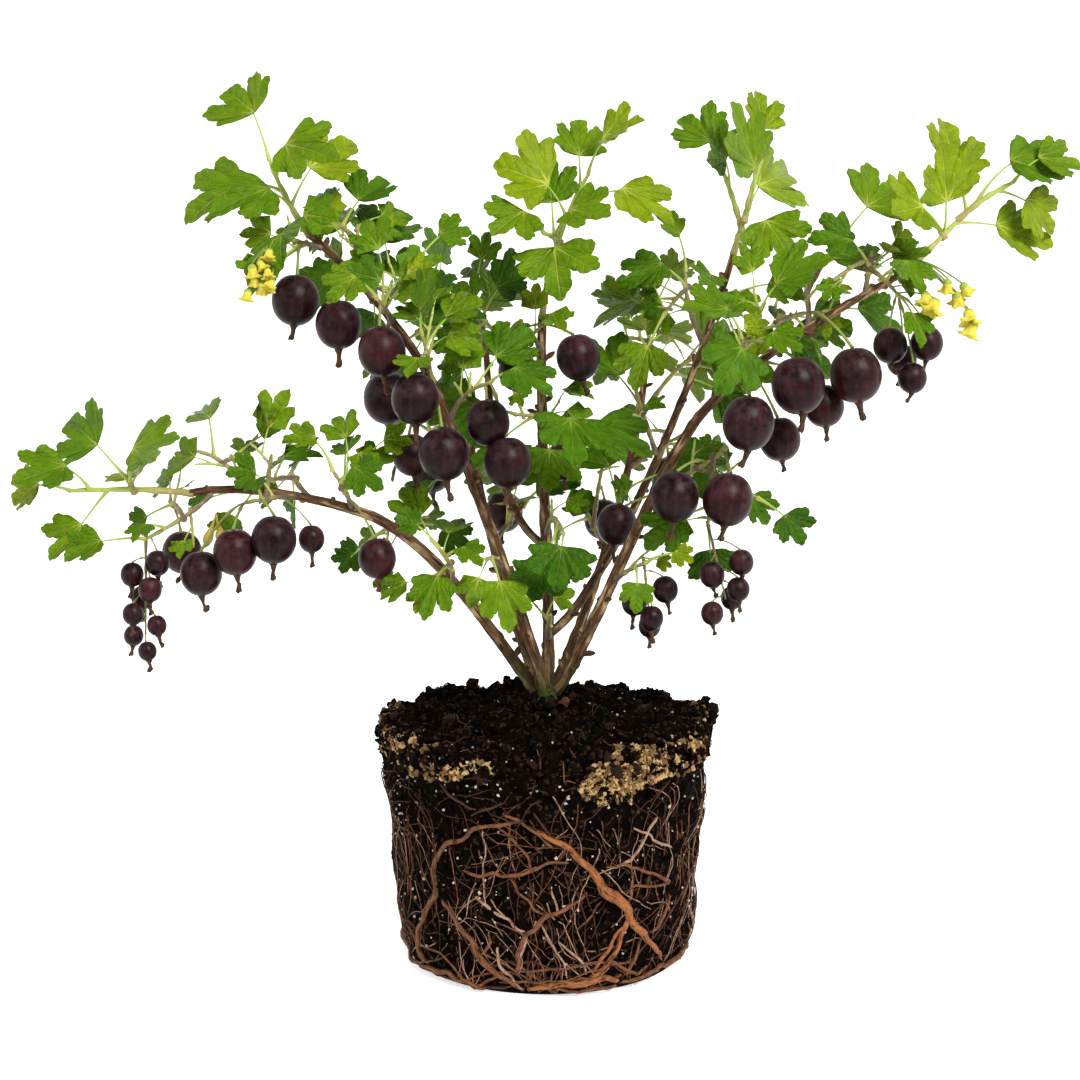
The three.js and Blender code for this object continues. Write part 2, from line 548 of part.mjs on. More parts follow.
/**
 * Every mass of foliage: the limb and the share of its length that it springs from, its twigs
 * (tip, leaves, blade width; the first is its stem, the others branch from it), its large
 * berries (centre, radius) and its clusters of small ones (top of the stalk, count, radius).
 */
const MASS_PLAN = [
  { name: "left_tip", on: "low_left_arm", at: 1,
    twigs: [[[-220, -42, 234], 3, 32], [[-196, -36, 240], 3, 36]] },
  { name: "left_clusters", on: "low_left_arm", at: 0.9,
    twigs: [[[-184, -52, 213], 2, 30], [[-178, -20, 226], 2, 34]],
    fruit: [[-172, -26, 203, 9.4]], clusters: [[[-185, -54, 208], 8, 6]] },
  { name: "left_crest", on: "low_left_arm", at: 0.72,
    twigs: [[[-162, -38, 252], 2, 34], [[-146, -18, 246], 2, 34]] },
  { name: "left_berries", on: "low_left_arm", at: 0.5,
    twigs: [[[-138, -56, 230], 3, 30], [[-128, -34, 250], 1, 34]],
    fruit: [[-159, -52, 197, 9.7], [-142, -60, 208, 10], [-124, -62, 214, 10.3],
      [-108, -52, 213, 6]] },
  { name: "left_rear", on: "low_left_arm", at: 0.36,
    twigs: [[[-122, 0, 240], 3, 36], [[-144, 2, 230], 2, 34]] },
  { name: "left_middle", on: "low_left_arm", at: 0.12,
    twigs: [[[-98, -50, 244], 3, 34], [[-86, -20, 248], 2, 34]],
    fruit: [[-78, -52, 204, 8.8]] },
  { name: "left_inner", on: "low_left_bough", at: 0.6,
    twigs: [[[-50, -46, 208], 3, 33], [[-52, -48, 192], 1, 28]] },
  { name: "left_inner_rear", on: "low_left_bough", at: 0.78,
    twigs: [[[-66, 6, 214], 3, 36], [[-84, 2, 206], 2, 34]] },
  { name: "upper_left_tip", on: "upper_left_arm", at: 1,
    twigs: [[[-131, 2, 386], 5, 37]] },
  { name: "upper_left_spur", on: "upper_left_arm", at: 0.92,
    twigs: [[[-126, -10, 350], 3, 33]],
    fruit: [[-118, -14, 321, 11.3]] },
  { name: "upper_left_crest", on: "upper_left_arm", at: 0.74,
    twigs: [[[-90, 2, 356], 3, 38], [[-102, 16, 358], 2, 28]],
    fruit: [[-97, -24, 310, 10.8]] },
  { name: "upper_left_berries", on: "upper_left_arm", at: 0.46,
    twigs: [[[-78, -34, 322], 2, 30], [[-62, -16, 336], 2, 28]],
    fruit: [[-76, -36, 298, 11.1], [-76, 0, 274, 11.9]] },
  { name: "upper_left_lower", on: "upper_left_arm", at: 0.14,
    twigs: [[[-57, -44, 306], 3, 28]],
    fruit: [[-60, -48, 277, 11.1], [-47, -50, 252, 11.6], [-64, -14, 248, 9.4]] },
  { name: "upper_left_rear", on: "upper_left_arm", at: 0.58,
    twigs: [[[-86, 24, 330], 3, 36], [[-68, 22, 318], 2, 36]] },
  { name: "middle_left", on: "upper_left_bough", at: 0.94,
    twigs: [[[-26, -44, 284], 2, 30]],
    fruit: [[-27, -46, 266, 10.1], [-18, -50, 248, 11.1]] },
  { name: "middle_left_low", on: "upper_left_bough", at: 0.5,
    twigs: [[[-28, -46, 202], 2, 30]] },
  { name: "inner_left", on: "inner_left_bough", at: 1,
    twigs: [[[-38, 22, 322], 4, 32], [[-26, 8, 306], 3, 30]] },
  { name: "centre_tip", on: "centre_stem", at: 1,
    twigs: [[[20, 12, 380], 4, 35], [[-1, 8, 352], 4, 33]] },
  { name: "centre_upper", on: "centre_stem", at: 0.92,
    twigs: [[[-12, 0, 310], 3, 34]],
    fruit: [[15, -10, 294, 10.4], [-14, 2, 287, 9.2]] },
  { name: "centre_middle", on: "centre_stem", at: 0.7,
    twigs: [[[4, -14, 262], 4, 36], [[-14, -2, 266], 2, 32]],
    fruit: [[8, -6, 244, 8.7]] },
  { name: "centre_lower", on: "centre_stem", at: 0.45,
    twigs: [[[8, -26, 212], 3, 34]] },
  { name: "centre_foot", on: "centre_stem", at: 0.15,
    twigs: [[[2, -20, 172], 1, 27]] },
  { name: "inner_right_tip", on: "inner_right_bough", at: 1,
    twigs: [[[98, 22, 364], 3, 42], [[86, 30, 382], 2, 33], [[104, 30, 386], 1, 32]] },
  { name: "inner_right_upper", on: "inner_right_bough", at: 0.8,
    twigs: [[[68, 26, 334], 3, 34], [[94, 14, 324], 3, 32], [[58, 22, 314], 2, 38]] },
  { name: "inner_right_middle", on: "inner_right_bough", at: 0.55,
    twigs: [[[42, 14, 282], 3, 38], [[72, 54, 290], 3, 36]] },
  { name: "inner_right_lower", on: "inner_right_bough", at: 0.36,
    twigs: [[[36, 8, 232], 3, 38]],
    fruit: [[34, -2, 213, 9.7]] },
  { name: "right_low_clusters", on: "right_bough", at: 0.5,
    twigs: [[[46, -40, 200], 2, 30]],
    clusters: [[[48, -40, 194], 4, 6.5]] },
  { name: "right_low", on: "right_bough", at: 0.8,
    twigs: [[[84, -38, 254], 3, 34], [[98, -36, 230], 2, 26], [[76, -28, 216], 2, 28]],
    fruit: [[59, -48, 232, 11.1], [83, -50, 231, 11.6]], clusters: [[[84, -36, 206], 5, 6.3]] },
  { name: "right_berries", on: "right_arm", at: 0.28,
    twigs: [[[90, -34, 304], 3, 34], [[102, -20, 320], 2, 30]],
    fruit: [[115, -46, 283, 12.4], [92, -50, 266, 11.9], [110, -20, 256, 9.8],
      [130, -24, 272, 9.4]] },
  { name: "right_crest", on: "right_arm", at: 0.58,
    twigs: [[[122, 2, 336], 3, 36], [[140, 6, 348], 2, 36]],
    fruit: [[143, -34, 287, 12.1]] },
  { name: "right_outer", on: "right_arm", at: 0.82,
    twigs: [[[154, -4, 344], 3, 34], [[164, -18, 324], 2, 30], [[134, -18, 330], 2, 38]],
    fruit: [[161, -20, 300, 8], [178, -20, 301, 7.7], [171, -24, 285, 6.8], [170, 0, 292, 7.2]] },
  { name: "right_tip", on: "right_arm", at: 1,
    twigs: [[[206, 8, 368], 4, 36], [[184, 4, 358], 3, 36], [[222, 6, 376], 2, 28]] },
  { name: "right_rear", on: "right_arm", at: 0.44,
    twigs: [[[112, 28, 316], 3, 38], [[134, 24, 314], 2, 36]] },
  { name: "rear_left_tip", on: "rear_left_bough", at: 1,
    twigs: [[[-52, 98, 314], 4, 38], [[-34, 104, 304], 3, 36], [[-66, 84, 302], 2, 36]] },
  { name: "rear_left_middle", on: "rear_left_bough", at: 0.7,
    twigs: [[[-66, 70, 256], 3, 38], [[-56, 102, 254], 3, 36]],
    fruit: [[-60, 86, 230, 11]] },
  { name: "rear_left_low", on: "rear_left_bough", at: 0.48,
    twigs: [[[-12, 72, 212], 3, 38], [[-22, 92, 234], 3, 34]],
    fruit: [[-22, 86, 208, 10]] },
  { name: "rear_right_tip", on: "rear_right_bough", at: 1,
    twigs: [[[56, 100, 308], 4, 38], [[38, 104, 298], 3, 36], [[74, 84, 296], 2, 36]] },
  { name: "rear_right_middle", on: "rear_right_bough", at: 0.7,
    twigs: [[[74, 68, 252], 3, 38], [[64, 100, 250], 3, 36]],
    fruit: [[66, 86, 226, 11]] },
  { name: "rear_right_low", on: "rear_right_bough", at: 0.48,
    twigs: [[[20, 76, 210], 3, 38], [[30, 96, 232], 3, 34]],
    fruit: [[30, 88, 204, 10]] },
];

/** Foot and first direction of a mass's twig: its stem is on the bough, the rest on the stem. */
function twigFoot(plan, order, end, stem) {
  if (order > 0) {
    const point = stem.getPoint(FORK_FIRST + FORK_STEP * (order - 1));
    return { point, direction: end.clone().sub(point).normalize() };
  }
  const bough = boughs[plan.on];
  const towards = end.clone().sub(bough.curve.getPoint(plan.at)).normalize();
  return onBough(bough, plan.at, towards, TWIG_FOOT_RADIUS);
}

/** Grows the twigs and the fruit of one mass, and claims their room. */
function growTwigs(plan, seed) {
  const random = seeded(seed);
  const twigs = [];
  for (const [order, [tip, leaves, width]] of plan.twigs.entries()) {
    const end = vector(tip);
    const { point, direction } = twigFoot(plan, order, end, twigs[0]?.curve);
    const radii = [TWIG_FOOT_RADIUS, TWIG_TIP_RADIUS];
    twigs.push({ curve: twigCurve(point, direction, end), radii, leaves, width });
  }
  const fruit = [...(plan.fruit ?? [])];
  for (const [top, count, radius] of plan.clusters ?? []) {
    const end = vector(top);
    const hold = holdPoint(twigs, end);
    end.z -= CLUSTER_STEP * radius * (count - 1);
    const curve = new StraightRuns(new THREE.LineCurve3(hold, end), 1);
    twigs.push({ curve, radii: [CLUSTER_STALK_RADIUS, STALK_RADIUS], leaves: 0, width: 0 });
    fruit.push(...cluster(top, count, radius, random));
  }
  for (const { curve } of twigs) claimLimb(plan.name, curve, TWIG_FOOT_RADIUS, TWIG_FOOT_RADIUS);
  for (const [x, y, z, radius] of fruit) {
    claim(plan.name, "fruit", new THREE.Vector3(x, y, z), radius * FRUIT_STRETCH + CLEAR);
  }
  return { plan, twigs, fruit, random };
}

/** The point on a mass's twigs that a stalk from a place hangs from: near it, and above it. */
function holdPoint(twigs, place) {
  let best;
  let least = Infinity;
  for (const { curve } of twigs) {
    for (let step = 3; step <= HOLD_STEPS; step += 1) {
      const point = curve.getPoint(step / HOLD_STEPS);
      const below = Math.max(0, place.z + STALK_RISE - point.z);
      const cost = point.distanceTo(place) + HOLD_FALL * below;
      if (cost < least) [best, least] = [point, cost];
    }
  }
  return best;
}

/** One leaf of a twig where there is room for it, turned on round the twig until there is. */
function growLeaf(owner, curve, order, width, first, random) {
  const share = Math.max(LEAF_LOWEST, 1 - (order * LEAF_SPACING) / curve.getLength());
  const size = width * between(BLADE_SIZE, random);
  for (let attempt = 0; attempt < LEAF_TRIES; attempt += 1) {
    const turn = first + order * GOLDEN_TURN + attempt * RETRY_TURN;
    const direction = petioleDirection(curve.getTangent(share), order, turn);
    const leaf = leafPlace(curve.getPoint(share), direction, size, random);
    const petiole = [0.5, 1].map((t) => leaf.start.clone().lerp(leaf.base, t));
    const balls = bladeBalls(leaf);
    const room = LEAF_ROOM * leaf.radius;
    if (isClear(owner, petiole, PETIOLE_RADIUS) && isClear(owner, balls, room)) {
      for (const ball of balls) claim(owner, "leaf", ball, room);
      return leaf;
    }
  }
  return null;
}

/** The leaves of one mass, round each twig from its tip back. */
function growLeaves({ plan, twigs, random }) {
  const leaves = [];
  for (const { curve, leaves: count, width } of twigs) {
    const first = 2 * Math.PI * random();
    for (let order = 0; order < count; order += 1) {
      const leaf = growLeaf(plan.name, curve, order, width, first, random);
      if (leaf) leaves.push(leaf);
    }
  }
  return leaves;
}

/** Fuses a mass: twigs, petioles and blades, stalks and berries. */
function fuseMass({ twigs, fruit }, leaves) {
  const pieces = twigs.map(({ curve, radii }) => solid(limb(curve, ...radii, TWIG_SIDES)));
  pieces.push(...leaves.map(leafSolid));
  for (const row of fruit) {
    const top = new THREE.Vector3(row[0], row[1], row[2] + FRUIT_STRETCH * row[3]);
    const hold = holdPoint(twigs, top);
    pieces.push(berry(row, hold.addScaledVector(hold.clone().sub(top).normalize(), STALK_SINK)));
  }
  return pieces.reduce((whole, piece) => whole.add(piece));
}

// --- The whole bush ---

const soil = new THREE.MeshStandardMaterial({ color: 0x2a201a, roughness: 0.95 });
const bark = new THREE.MeshStandardMaterial({ color: 0x85756a, roughness: 0.8 });
const foliage = new THREE.MeshStandardMaterial({ color: 0x5f9420, roughness: 0.6 });

const bush = new THREE.Group();
const ball = THICK_ROOTS.reduce((whole, root) => whole.add(thickRoot(root)), rootBall());
bush.add(meshOf("root_ball", ball, soil));
bush.add(meshOf("stool", stool(), bark));
for (const [name, { curve, foot, tip }] of Object.entries(boughs)) {
  bush.add(meshOf(name, solid(limb(curve, foot, tip, BOUGH_SIDES)), bark));
}
const masses = MASS_PLAN.map((plan, index) => growTwigs(plan, FIRST_SEED + SEED_STEP * index));
for (const mass of masses) {
  const name = `foliage_${mass.plan.name}`;
  bush.add(meshOf(name, fuseMass(mass, growLeaves(mass)), foliage));
}

export default bush;
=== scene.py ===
"""A young gooseberry bush in fruit, on its bare root ball.

Limbs, twigs, leaves and berries grow from the same plan and by the same seeded rule as the model's
own solids, and are carried on from them to finer twigs, young leaves, buds, flowers and roots.
Lengths are millimetres and are turned into metres where a mesh is made. +Z is up, -Y the front.
"""

import json
import math
from collections import namedtuple
from functools import partial
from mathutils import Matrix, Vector

import bpy
import numpy as np

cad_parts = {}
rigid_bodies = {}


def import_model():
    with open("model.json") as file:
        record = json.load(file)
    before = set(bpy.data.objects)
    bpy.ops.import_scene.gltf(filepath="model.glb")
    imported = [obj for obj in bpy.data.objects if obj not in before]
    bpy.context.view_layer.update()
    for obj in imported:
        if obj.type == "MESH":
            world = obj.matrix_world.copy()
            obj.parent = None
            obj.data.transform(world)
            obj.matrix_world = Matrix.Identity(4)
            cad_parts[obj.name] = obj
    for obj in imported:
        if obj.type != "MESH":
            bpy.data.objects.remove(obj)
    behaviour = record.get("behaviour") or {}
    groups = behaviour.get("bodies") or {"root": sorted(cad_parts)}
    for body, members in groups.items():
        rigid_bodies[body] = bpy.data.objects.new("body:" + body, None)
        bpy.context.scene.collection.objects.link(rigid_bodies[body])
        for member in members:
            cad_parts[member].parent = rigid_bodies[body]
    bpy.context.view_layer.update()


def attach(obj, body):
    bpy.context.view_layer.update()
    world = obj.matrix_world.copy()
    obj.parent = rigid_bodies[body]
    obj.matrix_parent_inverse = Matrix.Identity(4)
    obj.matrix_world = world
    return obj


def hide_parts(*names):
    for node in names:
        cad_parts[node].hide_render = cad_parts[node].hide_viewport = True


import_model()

MM = 0.001

# --- Root ball and stool, as in the model ---
BALL_HEIGHT = 115  # flat underside to rim
BALL_RIM_RADIUS = 81
BALL_FOOT_RADIUS = 70
BALL_MOUND = 10  # rise of the soil from the rim to the stool
BALL_LUMP = 1.4  # how far the moulded side strays from round
STOOL_RADIUS = 11
STOOL_CENTRE = np.array([0.0, 0.0, BALL_HEIGHT + BALL_MOUND + 1])

# Below, a pair holds the limits that a number is picked between, and angles are in radians.

# --- Wood, as in the model ---
GAP = 0.35  # between a limb and what it springs from
BOUGH_SIDES = 6
BOUGH_STEP = 18  # length of a straight stretch
LEAN_AT_TIP = 0.6  # how far a limb that goes on from another's tip leans its own way
LEAN_AT_SIDE = 0.7  # and how far one that springs from a side leans along the other limb
TWIG_RADIUS = 1.5
TWIG_STEPS = 2
TWIG_LEAD = 0.45  # how far on the middle of a twig's curve lies, as a share of its length
TWIG_ARCH = 0.1  # and how far up
FORK_FIRST = 0.5  # where the second twig leaves the first, and the step to the next
FORK_STEP = 0.25

# --- Leaves and fruit, as in the model ---
PETIOLE_RADIUS = 0.8
PETIOLE_LENGTH = (0.44, 0.66)  # share of the leaf's width
BLADE_SIZE = (0.95, 1.15)  # share of the width in the plan
BLADE_LOBES = 5
BLADE_LOBE_DEPTH = 0.13
BLADE_FOLD = (0.1, 0.45)
BLADE_CURL = 0.35
LEAF_SPACING = 8
LEAF_LOWEST = 0.3  # share of its twig's length below which no leaf stands
END_SPREAD = 0.25  # angle between the twig and the petiole of its end leaf
SIDE_SPREAD = 1.05  # and that of the others
LEAF_LIFT = 0.25
RIB_DROOP = (0.2, 0.9)
LIGHT_BACK = 70  # blades face away from a line this far behind the bush
LIGHT_SPREAD = 0.2
LIGHT_RISE = (0.45, 1.05)
LIGHT_STRAY = (-0.45, 0.45)
BLADE_TURN = 0.65  # how far a rib is turned out of the way that its blade faces
GOLDEN_TURN = 2.39996  # between one leaf and the next round a twig
RETRY_TURN = 0.9  # turn between one try and the next where a leaf has no room
LEAF_TRIES = 6
FRUIT_STRETCH = 1.08
CLUSTER_STEP = 0.95  # these four are shares of a small berry's radius
CLUSTER_REACH = (1.05, 1.15)
CLUSTER_SIZE = (0.9, 1.0)
CLUSTER_TAPER = 0.035
STALK_RISE = 2  # a stalk's foot is best this far above its berry
HOLD_STEPS = 20  # steps along a twig at which a stalk may start
HOLD_FIRST = 3
HOLD_FALL = 10  # cost of each millimetre lower than that

# --- Room, as in the model ---
CLEAR = 0.6  # kept free round wood and berries
CLEAR_STEP = 4
LEAF_ROOM = 0.3  # radius of a leaf's balls, as a share of its own
OWN_ROOM = 0.45  # share of the room that counts between parts of one mass
CROWN_LOW = np.array([-262.0, -100.0, 134.0])
CROWN_HIGH = np.array([256.0, 136.0, 437.0])
FIRST_SEED = 101
SEED_STEP = 37

NUDGE = 1e-4  # step between two points whose difference gives a curve's direction
LENGTH_STATIONS = 201  # points that a curve's length is measured over
UP = np.array([0.0, 0.0, 1.0])
FRONT = np.array([0.0, -1.0, 0.0])

# Every bough: what it springs from (the stool, in a direction of two angles in degrees, or another
# bough, from a place along it and towards a side), how far it runs straight on from there, the bend
# that it passes under, its tip, and its radius at foot and tip.
BOUGH_PLAN = {
    "low_left_bough": (("stool", 190, 50), 20, (-51, -30, 209), (-83, -36, 222), (3.0, 2.4)),
    "low_left_arm": (("low_left_bough", 1, (-1, 0, 0.3)), 24,
        (-138, -43, 238), (-165, -42, 233), (2.3, 1.7)),
    "upper_left_bough": (("stool", 255, 55), 22, (-34, -26, 238), (-50, -28, 275), (3.0, 2.4)),
    "upper_left_arm": (("upper_left_bough", 1, (-0.2, 0, 1)), 24,
        (-88, -8, 332), (-113, 0, 352), (2.3, 1.6)),
    "centre_stem": (("stool", 75, 78), 40, (-4, 18, 255), (-2, 18, 312), (2.9, 2.2)),
    "right_bough": (("stool", 325, 48), 22, (45, -23, 226), (69, -26, 264), (3.0, 2.4)),
    "right_arm": (("right_bough", 1, (0.7, 0, 0.7)), 34, (140, -8, 318), (171, 0, 334), (2.3, 1.6)),
    "inner_right_bough": (("centre_stem", 0.17, (0.8, 0.5, 0.4)), 36,
        (74, 38, 277), (92, 30, 344), (2.3, 1.6)),
    "inner_left_bough": (("centre_stem", 0.42, (-0.8, 0.45, 0.3)), 30,
        (-28, 26, 272), (-30, 28, 300), (2.0, 1.5)),
    "rear_left_bough": (("stool", 125, 48), 34, (-42, 72, 240), (-46, 90, 290), (2.8, 1.7)),
    "rear_right_bough": (("stool", 50, 48), 34, (48, 72, 236), (52, 92, 284), (2.6, 1.7)),
}

# The masses of foliage on each bough: name, place along the bough, twigs (tip, count of leaves and
# width of a leaf), berries (centre and radius) and clusters of small berries (top, count and radius).
MASS_PLAN = {
    "low_left_arm": [
        ("left_tip", 1, [(-220, -42, 234, 3, 32), (-196, -36, 240, 3, 36)]),
        ("left_clusters", 0.9, [(-184, -52, 213, 2, 30), (-178, -20, 226, 2, 34)],
         [(-172, -26, 203, 9.4)], [(-185, -54, 208, 8, 6)]),
        ("left_crest", 0.72, [(-162, -38, 252, 2, 34), (-146, -18, 246, 2, 34)]),
        ("left_berries", 0.5, [(-138, -56, 230, 3, 30), (-128, -34, 250, 1, 34)],
         [(-159, -52, 197, 9.7), (-142, -60, 208, 10), (-124, -62, 214, 10.3), (-108, -52, 213, 6)]),
        ("left_rear", 0.36, [(-122, 0, 240, 3, 36), (-144, 2, 230, 2, 34)]),
        ("left_middle", 0.12, [(-98, -50, 244, 3, 34), (-86, -20, 248, 2, 34)], [(-78, -52, 204, 8.8)]),
    ],
    "low_left_bough": [
        ("left_inner", 0.6, [(-50, -46, 208, 3, 33), (-52, -48, 192, 1, 28)]),
        ("left_inner_rear", 0.78, [(-66, 6, 214, 3, 36), (-84, 2, 206, 2, 34)]),
    ],
    "upper_left_arm": [
        ("upper_left_tip", 1, [(-131, 2, 386, 5, 37)]),
        ("upper_left_spur", 0.92, [(-126, -10, 350, 3, 33)], [(-118, -14, 321, 11.3)]),
        ("upper_left_crest", 0.74, [(-90, 2, 356, 3, 38), (-102, 16, 358, 2, 28)],
         [(-97, -24, 310, 10.8)]),
        ("upper_left_berries", 0.46, [(-78, -34, 322, 2, 30), (-62, -16, 336, 2, 28)],
         [(-76, -36, 298, 11.1), (-76, 0, 274, 11.9)]),
        ("upper_left_lower", 0.14, [(-57, -44, 306, 3, 28)],
         [(-60, -48, 277, 11.1), (-47, -50, 252, 11.6), (-64, -14, 248, 9.4)]),
        ("upper_left_rear", 0.58, [(-86, 24, 330, 3, 36), (-68, 22, 318, 2, 36)]),
    ],
    "upper_left_bough": [
        ("middle_left", 0.94, [(-26, -44, 284, 2, 30)], [(-27, -46, 266, 10.1), (-18, -50, 248, 11.1)]),
        ("middle_left_low", 0.5, [(-28, -46, 202, 2, 30)]),
    ],
    "inner_left_bough": [
        ("inner_left", 1, [(-38, 22, 322, 4, 32), (-26, 8, 306, 3, 30)]),
    ],
    "centre_stem": [
        ("centre_tip", 1, [(20, 12, 380, 4, 35), (-1, 8, 352, 4, 33)]),
        ("centre_upper", 0.92, [(-12, 0, 310, 3, 34)], [(15, -10, 294, 10.4), (-14, 2, 287, 9.2)]),
        ("centre_middle", 0.7, [(4, -14, 262, 4, 36), (-14, -2, 266, 2, 32)], [(8, -6, 244, 8.7)]),
        ("centre_lower", 0.45, [(8, -26, 212, 3, 34)]),
        ("centre_foot", 0.15, [(2, -20, 172, 1, 27)]),
    ],
    "inner_right_bough": [
        ("inner_right_tip", 1, [(98, 22, 364, 3, 42), (86, 30, 382, 2, 33), (104, 30, 386, 1, 32)]),
        ("inner_right_upper", 0.8, [(68, 26, 334, 3, 34), (94, 14, 324, 3, 32), (58, 22, 314, 2, 38)]),
        ("inner_right_middle", 0.55, [(42, 14, 282, 3, 38), (72, 54, 290, 3, 36)]),
        ("inner_right_lower", 0.36, [(36, 8, 232, 3, 38)], [(34, -2, 213, 9.7)]),
    ],
    "right_bough": [
        ("right_low_clusters", 0.5, [(46, -40, 200, 2, 30)], [], [(48, -40, 194, 4, 6.5)]),
        ("right_low", 0.8, [(84, -38, 254, 3, 34), (98, -36, 230, 2, 26), (76, -28, 216, 2, 28)],
         [(59, -48, 232, 11.1), (83, -50, 231, 11.6)], [(84, -36, 206, 5, 6.3)]),
    ],
    "right_arm": [
        ("right_berries", 0.28, [(90, -34, 304, 3, 34), (102, -20, 320, 2, 30)],
         [(115, -46, 283, 12.4), (92, -50, 266, 11.9), (110, -20, 256, 9.8), (130, -24, 272, 9.4)]),
        ("right_crest", 0.58, [(122, 2, 336, 3, 36), (140, 6, 348, 2, 36)], [(143, -34, 287, 12.1)]),
        ("right_outer", 0.82, [(154, -4, 344, 3, 34), (164, -18, 324, 2, 30), (134, -18, 330, 2, 38)],
         [(161, -20, 300, 8), (178, -20, 301, 7.7), (171, -24, 285, 6.8), (170, 0, 292, 7.2)]),
        ("right_tip", 1, [(206, 8, 368, 4, 36), (184, 4, 358, 3, 36), (222, 6, 376, 2, 28)]),
        ("right_rear", 0.44, [(112, 28, 316, 3, 38), (134, 24, 314, 2, 36)]),
    ],
    "rear_left_bough": [
        ("rear_left_tip", 1, [(-52, 98, 314, 4, 38), (-34, 104, 304, 3, 36), (-66, 84, 302, 2, 36)]),
        ("rear_left_middle", 0.7, [(-66, 70, 256, 3, 38), (-56, 102, 254, 3, 36)],
         [(-60, 86, 230, 11)]),
        ("rear_left_low", 0.48, [(-12, 72, 212, 3, 38), (-22, 92, 234, 3, 34)], [(-22, 86, 208, 10)]),
    ],
    "rear_right_bough": [
        ("rear_right_tip", 1, [(56, 100, 308, 4, 38), (38, 104, 298, 3, 36), (74, 84, 296, 2, 36)]),
        ("rear_right_middle", 0.7, [(74, 68, 252, 3, 38), (64, 100, 250, 3, 36)], [(66, 86, 226, 11)]),
        ("rear_right_low", 0.48, [(20, 76, 210, 3, 38), (30, 96, 232, 3, 34)], [(30, 88, 204, 10)]),
    ],
}

Plan = namedtuple("Plan", "bough name at twigs fruit clusters", defaults=([], []))
Limb = namedtuple("Limb", "parent curve foot tip")
Leaf = namedtuple("Leaf", "start base centre rib face cross radius fold")
Twig = namedtuple("Twig", "curve leaves width")
Mass = namedtuple("Mass", "plan twigs fruit draw")

WOOD, LEAF, FRUIT = range(3)


# --- The growing rule ---


def unit(vectors):
    """Vectors divided by their lengths."""
    return vectors / np.linalg.norm(vectors, axis=-1, keepdims=True)


def lerp(low, high, share):
    """low + (high - low) * share."""
    return low + (high - low) * share


def seeded(seed):
    """Park and Miller's generator: state = 16807 * state mod 2^31 - 1, given as a share of 1."""
    state = seed

    def draw():
        nonlocal state
        state = state * 16807 % 2147483647
        return state / 2147483647

    return draw


def between(limits, draw):
    """A number picked between two."""
    return lerp(*limits, draw())


class Bend:
    """A Bezier curve. smooth(t) is the sum of its control points times Bernstein's polynomials, and
    point(t) runs evenly along each of the straight stretches that the model's limbs follow."""

    def __init__(self, controls, steps):
        self.controls = np.array(controls, float)
        self.steps = steps
        self.nodes = self.smooth(np.linspace(0, 1, steps + 1))

    def smooth(self, t):
        """Points on the curve itself."""
        t = np.asarray(t, float)[..., None]
        order = len(self.controls) - 1
        k = np.arange(order + 1)
        choose = np.array([math.comb(order, i) for i in k])
        return (choose * t**k * (1 - t) ** (order - k)) @ self.controls

    def point(self, t):
        """Points on the straight stretches."""
        t = np.asarray(t, float)
        run = np.minimum(np.floor(t * self.steps), self.steps - 1).astype(int)
        share = (t * self.steps - run)[..., None]
        return lerp(self.nodes[run], self.nodes[run + 1], share)

    def tangent(self, t):
        """The curve's direction, from two points close beside t."""
        return unit(self.smooth(min(t + NUDGE, 1)) - self.smooth(max(t - NUDGE, 0)))

    def length(self):
        """Length of the straight stretches together."""
        points = self.point(np.linspace(0, 1, LENGTH_STATIONS))
        return np.linalg.norm(np.diff(points, axis=0), axis=1).sum()


def section(curve, share):
    """Two directions square to a limb: across = reference x along, and out = across x along."""
    reference = UP if abs(curve.tangent(0.5)[1]) > 0.8 else FRONT
    along = curve.tangent(share)
    across = unit(np.cross(reference, along))
    return across, np.cross(across, along)


def side_reach(limb, share, towards):
    """Distance from a bough's axis to its flat side: its radius * cos(half a facet) / cos(the angle
    from the facet's middle)."""
    across, out = section(limb.curve, share)
    facet = 2 * math.pi / BOUGH_SIDES
    angle = math.atan2(towards @ across, towards @ out)
    from_middle = angle % facet - facet / 2
    return lerp(limb.foot, limb.tip, share) * math.cos(facet / 2) / math.cos(from_middle)


def on_stool(azimuth, elevation):
    """Foot and direction of a stem on the stool, from two angles in degrees."""
    across, rise = math.radians(azimuth), math.radians(elevation)
    level = math.cos(rise)
    direction = np.array([level * math.cos(across), level * math.sin(across), math.sin(rise)])
    return STOOL_CENTRE + (STOOL_RADIUS + GAP) * direction, direction


def on_bough(limb, share, towards, radius):
    """Foot and direction of a limb that springs from another one's side or end."""
    along = limb.curve.tangent(share)
    axis = limb.curve.point(share)
    if share == 1:
        direction = unit(along + LEAN_AT_TIP * towards)
        tilt = math.sqrt(max(0, 1 - (direction @ along) ** 2))
        return axis + (GAP + radius * tilt) * along, direction
    out = unit(towards - (towards @ along) * along)
    direction = unit(out + LEAN_AT_SIDE * along)
    tilt = math.sqrt(1 - (direction @ out) ** 2)
    return axis + (side_reach(limb, share, out) + GAP + radius * tilt) * out, direction


def grow_boughs():
    """Every bough of the plan, as a cubic curve from its foot past its bend to its tip."""
    limbs = {}
    for name, ((parent, *way), lead, bend, tip, radii) in BOUGH_PLAN.items():
        if parent == "stool":
            point, direction = on_stool(*way)
        else:
            share, towards = way
            towards = unit(np.array(towards, float))
            point, direction = on_bough(limbs[parent], share, towards, radii[0])
        controls = [point, point + lead * direction, bend, tip]
        steps = int(Bend(controls, LENGTH_STATIONS - 1).length() / BOUGH_STEP + 0.5)
        limbs[name] = Limb(parent, Bend(controls, steps), *radii)
    return limbs


